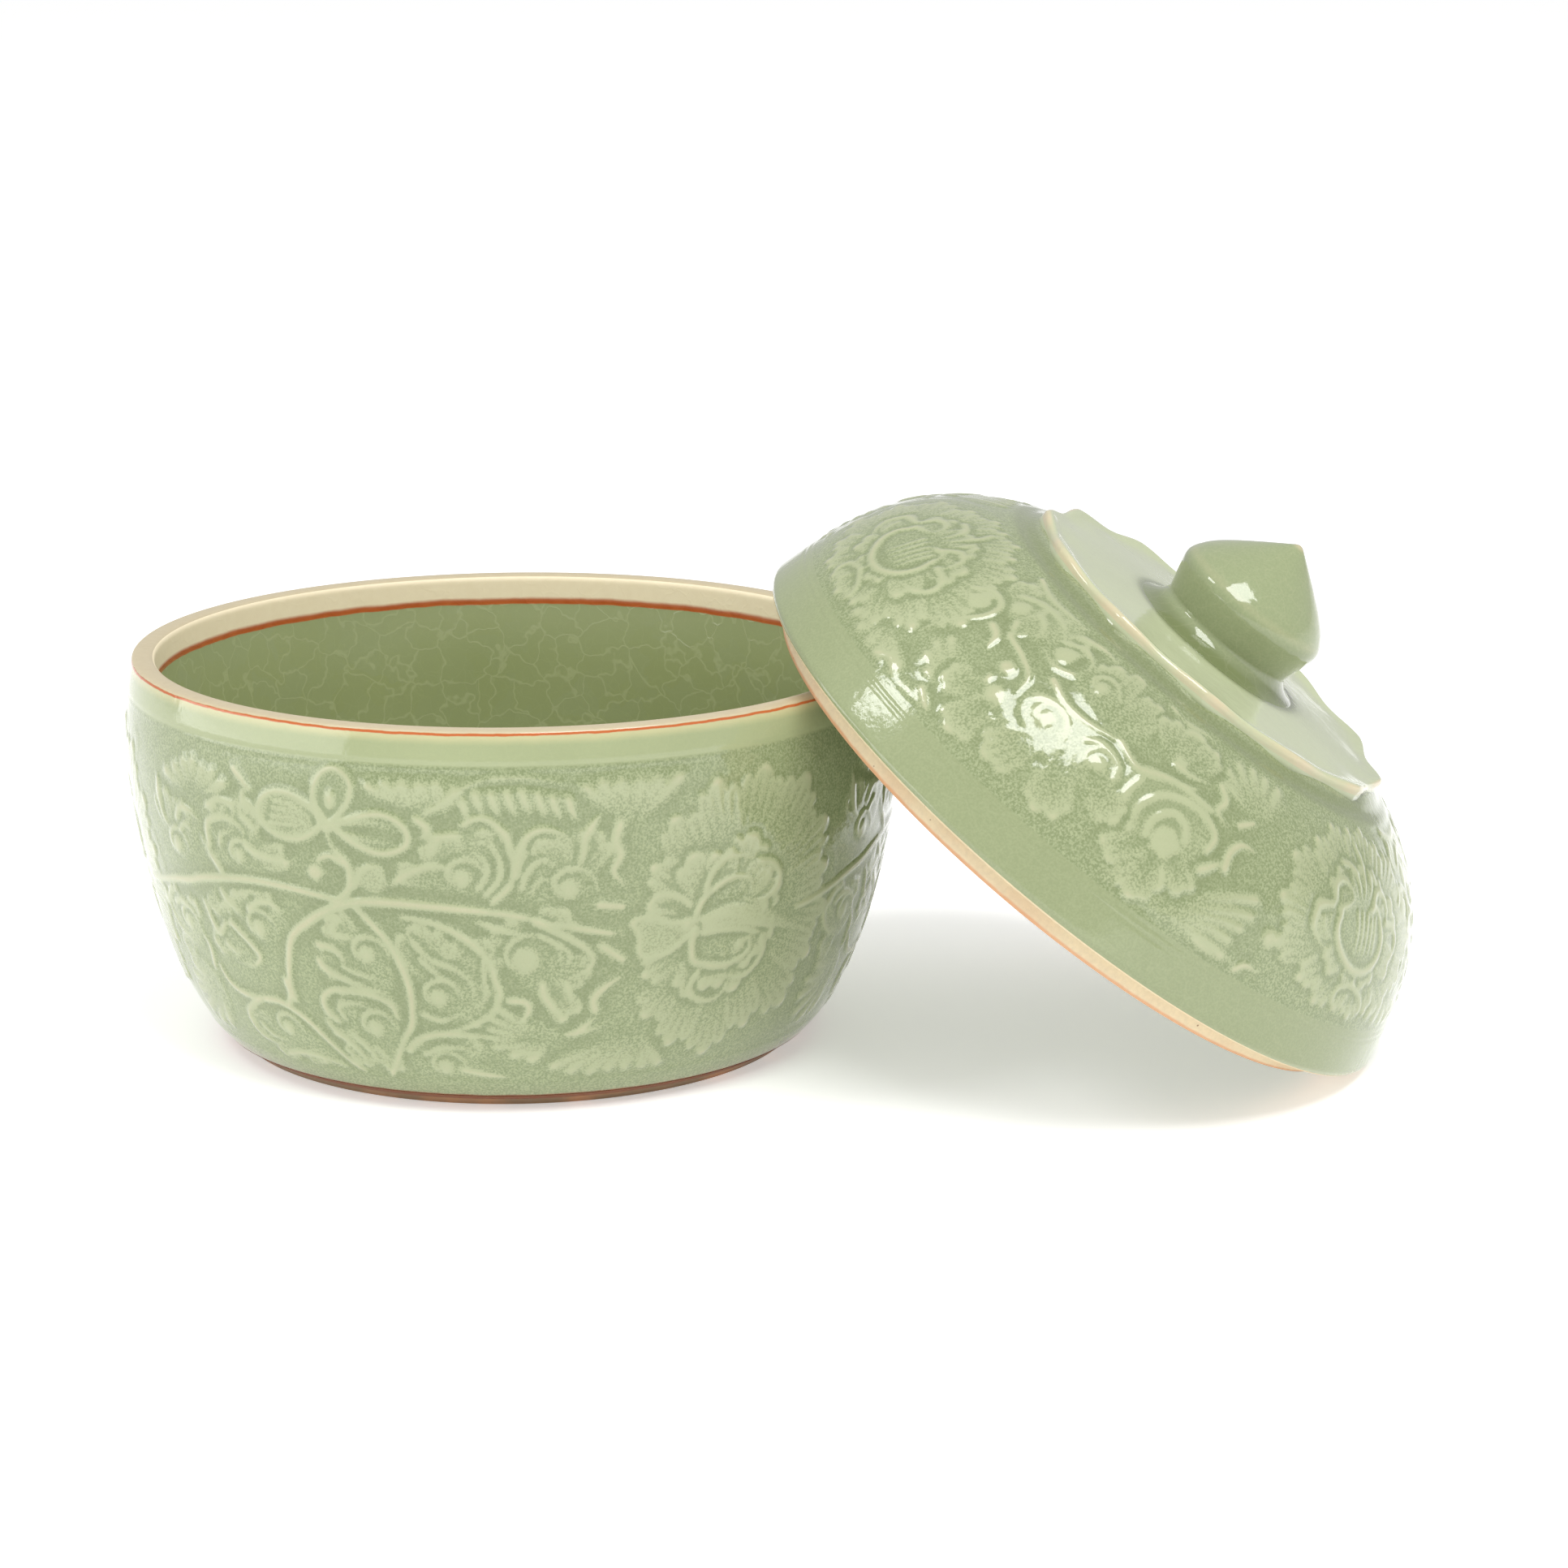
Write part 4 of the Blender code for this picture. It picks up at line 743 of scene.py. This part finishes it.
def glaze_top(name, tone):
    """Plain glaze for the collar and knob; `edge` attribute bares the lip."""
    m = Mat(name); loc = m.attr("loc", True)
    sp = speckle(m, loc); broad = m.lin(m.noise(loc, 0.05, 2.0), 0.3, 0.7)
    c = m.mix(m.math("MULTIPLY", sp, 0.12), tone, srgb(180,186,150))
    c = m.mix(m.math("MULTIPLY", broad, 0.18), c, MIDG)
    # painted shade: darkens the glaze in the joins, where the knob meets the collar and the collar meets the dome
    c = m.mix(m.step(m.attr("joint_shade"), 0.0, 1.0), c, DEEP)
    c = m.mix(m.math("MULTIPLY", m.step(m.attr("lip"), 0.15, 0.95), m.lin(m.noise(loc, 0.12, 2.0), 0.35, 0.65, 0.35, 0.9)), c, srgb(206,188,156))
    crk, _ = m.crackle(loc, 4.6, 0.2)
    c = m.mix(m.math("MULTIPLY", crk, 0.10), c, CREAM)
    m.put(m.b.inputs["Base Color"], c); m.b.inputs["Roughness"].default_value = 0.09
    m.b.inputs["IOR"].default_value = 1.46
    m.b.inputs["Coat Weight"].default_value = 0.25; m.b.inputs["Coat Roughness"].default_value = 0.03
    m.bump(m.noise(loc, 0.35, 2.0), 0.00015, 0.6)
    return m.m

# ---------------------------------------------------------------- the bowl
NC = 1080
outer = chain(bez((69.8,3.4),(81.6,14.1),(90,52),(90,74),60), bez((90,74),(90,78.8),(89.2,85.4),(88.1,90.2),20))
outer = resample(outer, 0.5)
S_out = arc(outer)[-1]
rim = chain(outer[-1:], bez((88.1,90.2),(87.9,90.7),(87.5,90.78),(87.0,90.8),5), bez((87.0,90.8),(86.2,90.92),(85.0,90.92),(84.0,90.8),8), bez((84.0,90.8),(83.1,90.6),(82.8,90.1),(82.75,89.4),6), resample(np.array([(82.75,89.4),(82.6,83.9)]), 0.5))
inner = chain(rim[-1:], resample(bez((82.6,83.9),(82.2,80),(81.2,74),(80.8,66),12), 0.8), resample(bez((80.8,66),(80.5,60),(80.4,54),(80.1,47),8), 1.6), resample(bez((80.1,47),(79.5,34),(75.0,16.8),(62,11.4),30), 1.6), resample(bez((62,11.4),(54,9.6),(44,8.8),(36,8.8),12), 2.4), [(24,8.8),(12,8.8),(4,8.8),(0,8.8)])
under = chain([(0,3.4),(20,3.4),(40,3.4),(55.2,3.4),(69.3,3.15)])
prof = chain(outer, rim, inner)
va = arc(prof)
i_inner = len(chain(outer, rim)) - 1
S_line_in = va[np.argmin(np.abs(prof[:, 0]-82.62) + np.abs(prof[:, 1]-84.4))]

carv = carve_bowl()
rows = arc(outer)
Hb = carv.result(NC, rows * 91.5/S_out)
fade = np.clip((rows*91.5/S_out - 5.5)/1.8, 0, 1) * np.clip((84.3 - rows*91.5/S_out)/1.2, 0, 1)
Hb = np.clip(Hb, -0.4, 1.3) * fade[:, None]
k_th = NC/360/1.5
Hs = blur(Hb, 2.1*NC/360/1.536, 2.1/0.5)
thin = Hb - Hs
sb = rows * 91.5/S_out
dispb = 0.50*Hb - 0.50*0.34*fade[:, None]
dispb = dispb - 0.14*np.exp(-((sb-84.6)/0.5)**2)[:, None]
n_all = len(prof)
disp = np.zeros((n_all, NC)); disp[:len(outer)] = dispb
ax = np.zeros((n_all, NC)); ax[:len(outer)] = Hb
at = np.zeros((n_all, NC)); at[:len(outer)] = thin
g_out = glaze_out("celadon_wall", v_line=S_out - 0.1, v_plain=(84.4*S_out/91.5, S_out, 0.5), foot=0.0)
g_in = glaze_in("celadon_inside", S_line_in)
n_under = len(under)
# the underside closes the shell: one mesh from foot joint over the rim to the middle, then back out
full = np.vstack([prof, under[:-1]])
disp = np.vstack([disp, np.zeros((len(under)-1, NC))])
ax = np.vstack([ax, np.zeros((len(under)-1, NC))]); at = np.vstack([at, np.zeros((len(under)-1, NC))])
clay_under = bare_clay("bare_underside", base=srgb(176,156,126), flash=0.5)
rowm = [0]*(i_inner) + [1]*(len(prof)-i_inner) + [2]*(len(under)-1)
# the rim top belongs to the outer material up to the inner edge
i_rimend = len(chain(outer, rim[:16])) - 1
for i in range(i_rimend, i_inner):
    rowm[i] = 1
bowl_shell = revolve("bowl_shell", full, BOWL, NC, [g_out, g_in, clay_under], closed=True, disp=disp, extra={"relief": ax, "thin": at}, row_mat=rowm)
foot = chain([(69.9,3.45)], bez((69.9,3.45),(68.6,2.6),(66.8,1.4),(65.9,0.7),6), bez((65.9,0.7),(65.6,0.2),(65.2,0.0),(64.8,0.0),4),
             resample(np.array([(64.8,0.0),(57.5,0.0)]), 1.5), bez((57.5,0),(57,0),(56.6,0.3),(56.4,0.9),4), [(55.5,3.45)])
foot_clay = bare_clay("bare_foot", base=FOOT, flash=0.5, grit=0.5, lines=[(0.9, 1.1, 0.8, srgb(118,64,28), 0.95)])
bowl_foot = revolve("bowl_foot", foot, BOWL, 360, [foot_clay], closed=True)

# ----------------------------------------------------------------- the lid
dome = chain(bez((87.2,0.05),(87.9,0.15),(88.25,0.9),(88.35,1.8),6), [(88.2,2.6)], bez((88.2,2.6),(82.8,22.9),(76.8,39.1),(48,49.4),90))
dome_lo = dome[:7]; dome_hi = resample(dome[6:], 0.5)
dprof = chain(dome_lo, dome_hi)
sd = arc(dome_hi)
S_dome = sd[-1]
lidc = carve_lid()
sl = sd * 68.0/S_dome
Hl = lidc.result(NC, sl)
fl = np.clip((sl - 9.6)/2.0, 0, 1) * np.clip((60.2 - sl)/1.6, 0, 1)
Hl = np.clip(Hl, -0.4, 1.3) * fl[:, None]
rad = dome_hi[:, 0] / 88.0
thl = Hl - blur(Hl, 2.1*NC/360/1.34, 2.1/0.5)
dl = 0.50*Hl - 0.50*0.34*fl[:, None]
dl = dl - (0.16*np.exp(-((sl-8.4)/0.42)**2) + 0.16*np.exp(-((sl-10.0)/0.42)**2))[:, None]
dl = dl - (0.35*np.exp(-((sl-63.4)/2.0)**2))[:, None]
nd = len(dprof); off = nd - len(dome_hi)
ldisp = np.zeros((nd, NC)); ldisp[off:] = dl
lrel = np.zeros((nd, NC)); lrel[off:] = Hl
lthin = np.zeros((nd, NC)); lthin[off:] = thl
v0 = arc(dprof)[off]
ltop = np.array([(44,49.4),(0,49.4)]) 
linner = chain([(0,44.4),(14,44.4),(30,44.4)], resample(bez((40,44.4),(46.5,43.5),(68,38.5),(72.6,29),16), 1.8), resample(bez((72.6,29),(75.6,21),(77,12),(77.2,0.05),16), 1.8))
ledge = resample(np.array([(77.2,0.05),(87.2,0.05)]), 1.25)[1:-1]
lfull = np.vstack([dprof, ltop, linner, ledge])
padn = len(lfull) - nd
ldisp = np.vstack([ldisp, np.zeros((padn, NC))]); lrel = np.vstack([lrel, np.zeros((padn, NC))]); lthin = np.vstack([lthin, np.zeros((padn, NC))])
vl_end = arc(lfull)
m_dome = glaze_out("celadon_dome", band=srgb(140,149,111), v_plain=(-5.0, v0 + 10.2*S_dome/68, 0.4), v_pool=(v0 + 63.4*S_dome/68, 1.6, 2.4))
# seat edge: the glaze stops and pale bare clay runs on beyond it
m_lin = glaze_in("celadon_lid_inside", -50.0)
m_edge = bare_clay("bare_lid_edge", base=srgb(206,190,156), flash=0.12, grit=0.3)
rm = [0]*(nd+1) + [1]*(len(linner)) + [2]*(len(ledge)+1)
rm = (rm + [2]*len(lfull))[:len(lfull)]
for i in range(3):
    rm[i] = 2
lid_shell = revolve("lid_shell", lfull, LID, NC, [m_dome, m_lin, m_edge], closed=True, disp=ldisp, extra={"relief": lrel, "thin": lthin}, row_mat=rm)
flange = chain([(81.6,0.2)], bez((81.6,0.2),(81.5,-1.5),(81.5,-3),(81.35,-3.9),6), bez((81.35,-3.9),(81.2,-4.6),(80.9,-4.9),(80.3,-4.92),5),
               resample(np.array([(80.3,-4.92),(78.4,-4.92)]), 0.8), bez((78.4,-4.92),(77.8,-4.9),(77.4,-4.5),(77.35,-3.9),5), [(77.25,-2),(77.25,0.2)])
fa = arc(flange)
m_flange = bare_clay("bare_flange", base=srgb(206,190,158), flash=0.15, grit=0.8, lines=[(4.9, 0.35, 0.7, srgb(200,138,92), 0.75)])
lid_flange = revolve("lid_flange", flange, LID, 540, [m_flange], closed=True)

# petal collar: twelve lobes with a worn lip, dished between lip and knob
NCC = 720
tc = np.arange(NCC)*2*math.pi/NCC
cprof = chain([(0,47.6),(30,47.6),(50.4,47.3)], bez((50.4,47.3),(50.0,48.3),(49.5,48.8),(49.45,49.6),5), bez((49.45,49.6),(49.45,50.0),(49.5,50.4),(49.5,50.8),3), bez((49.5,50.8),(49.4,51.7),(48.7,52.0),(47.9,51.85),5),
              bez((47.9,51.85),(46,51.3),(45,51.15),(43,51.2),6), bez((43,51.2),(36,51.4),(28,51.9),(22,52.3),10), [(12,52.4),(0,52.4)])
cr = cprof[:, 0][:, None]
wave = 0.5 - 0.5*np.cos(12*tc)
lob = (-0.9*np.abs(np.sin(6*tc))**0.9 - 1.1*wave - 0.35*np.sin(3*tc+0.6)*np.abs(np.sin(6*tc))) * np.clip((cr-34)/15.4, 0, 1)
ncp = len(cprof)
lift = (0.35 - 0.8*wave) * np.clip((cr-38)/11, 0, 1)**1.5 * np.clip((cprof[:, 1] - 48.6)/1.6, 0, 1)[:, None]
lip = np.exp(-((cprof[:, 0]-49.3)/0.9)**2)*(cprof[:, 1] > 50.0); lip = np.repeat(lip[:, None], NCC, 1) * (0.75+0.25*np.cos(12*tc+math.pi*0))
# painted shade for the collar: round the knob's foot (r 21.5) and along the foot of the outer edge, by the dome
joint_shade = 0.9*np.exp(-((cprof[:, 0]-21.5)/2.2)**2) + 0.75*np.clip((49.7-cprof[:, 1])/1.0, 0, 1)
m_collar = glaze_top("celadon_collar", srgb(184,191,156))
lid_collar = revolve("lid_collar", cprof, LID, NCC, [m_collar], closed=False, radial=lob, lift=lift,
                     extra={"lip": lip, "joint_shade": np.repeat(joint_shade[:, None], NCC, 1)})
kprof = chain([(0,51.9),(22.4,51.9)], bez((22.4,52.1),(19.2,52.9),(17.4,54.4),(16.9,56.2),8), bez((16.9,56.2),(17.4,58.2),(18.2,60.6),(18.9,63.4),10),
              bez((18.9,63.4),(19.4,65.4),(18.6,66.6),(17.6,67.9),8), bez((17.6,67.9),(15.6,71.2),(7.6,76.8),(1.6,81.2),22), bez((1.6,81.2),(1.0,81.7),(0.5,81.95),(0,81.95),5))
# painted shade round the foot of the knob, where it sits in the collar
knob_foot_shade = 0.9*np.exp(-((kprof[:, 1]-52.9)/2.2)**2); knob_foot_shade[:2] = 0
kl = 0.35*np.exp(-((kprof[:, 1]-66.6)/1.6)**2) + 0.7*np.exp(-((kprof[:, 1]-82)/1.0)**2)
# the knob's tone is darker than the collar's: partly its greener glaze, partly painted shade standing in for the dark
# reflection on its left side
m_knob = glaze_top("celadon_knob", srgb(138,148,110))
lid_knob = revolve("lid_knob", kprof, LID, 240, [m_knob], closed=False,
                   extra={"lip": np.repeat(kl[:, None], 240, 1), "joint_shade": np.repeat(knob_foot_shade[:, None], 240, 1)})

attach(bowl_shell, "bowl"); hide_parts("bowl_body")
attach(bowl_foot, "bowl"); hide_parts("bowl_foot_ring")
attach(lid_shell, "lid"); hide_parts("lid_dome")
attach(lid_flange, "lid"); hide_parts("lid_seat_flange")
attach(lid_collar, "lid"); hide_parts("lid_petal_collar")
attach(lid_knob, "lid"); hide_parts("lid_knob")

# -------------------------------------------------------------- the setting
def floor_plane():
    me = bpy.data.meshes.new("floor")
    R = 14.0
    me.from_pydata([(-R,-R,-0.0001),(R,-R,-0.0001),(R,R,-0.0001),(-R,R,-0.0001)], [], [(0,1,2,3)])
    ob = bpy.data.objects.new("floor", me); bpy.context.scene.collection.objects.link(ob)
    m = bpy.data.materials.new("pale_floor"); m.use_nodes = True
    b = m.node_tree.nodes["Principled BSDF"]
    b.inputs["Base Color"].default_value = (0.90, 0.90, 0.895, 1); b.inputs["Roughness"].default_value = 0.85
    b.inputs["Specular IOR Level"].default_value = 0.1
    b.inputs["Emission Color"].default_value = (1, 1, 1, 1); b.inputs["Emission Strength"].default_value = 0.40
    me.materials.append(m)
    return ob
floor_plane()

def aim(ob, target):
    d = Vector(target) - ob.location
    ob.rotation_euler = d.to_track_quat("-Z", "Y").to_euler()

def softbox(name, loc, target, w, h, power):
    l = bpy.data.lights.new(name, "AREA"); l.shape = "RECTANGLE"; l.size = w; l.size_y = h; l.energy = power
    ob = bpy.data.objects.new(name, l); bpy.context.scene.collection.objects.link(ob)
    ob.location = loc; aim(ob, target)
    return ob

def toward(az, el, dist):
    """A place seen from the object: az from the front, + to the right."""
    a, e = math.radians(az), math.radians(el)
    return (dist*math.sin(a)*math.cos(e), -dist*math.cos(a)*math.cos(e), dist*math.sin(e) + 0.05)

softbox("window_top", toward(32, 60, 1.7), (0.05, 0.0, 0.05), 0.95, 0.72, 21)
softbox("window_small", toward(-68, 54, 1.7), (0.05, 0.0, 0.05), 0.42, 0.30, 4)
softbox("panel_left", (-1.22, -0.26, 0.19), (-0.05, 0.0, 0.06), 1.5, 0.40, 4.4)

sun = bpy.data.lights.new("even_light", "SUN"); sun.energy = 0.12; sun.angle = math.radians(60)
so = bpy.data.objects.new("even_light", sun); bpy.context.scene.collection.objects.link(so)
so.rotation_euler = (math.radians(10), math.radians(-22), 0)

w = bpy.data.worlds.new("studio"); bpy.context.scene.world = w; w.use_nodes = True
w.node_tree.nodes["Background"].inputs[0].default_value = (1, 1, 1, 1)
w.node_tree.nodes["Background"].inputs[1].default_value = 0.60

cam = bpy.data.cameras.new("camera"); cam.lens = 103.93; cam.sensor_width = 36.0; cam.clip_end = 50
co = bpy.data.objects.new("camera", cam); bpy.context.scene.collection.objects.link(co)
co.location = (0.00377, -1.021915, 0.312); co.rotation_euler = (math.radians(90 - 13.886), 0, 0)
bpy.context.scene.camera = co
bpy.context.scene.view_settings.view_transform = "Standard"
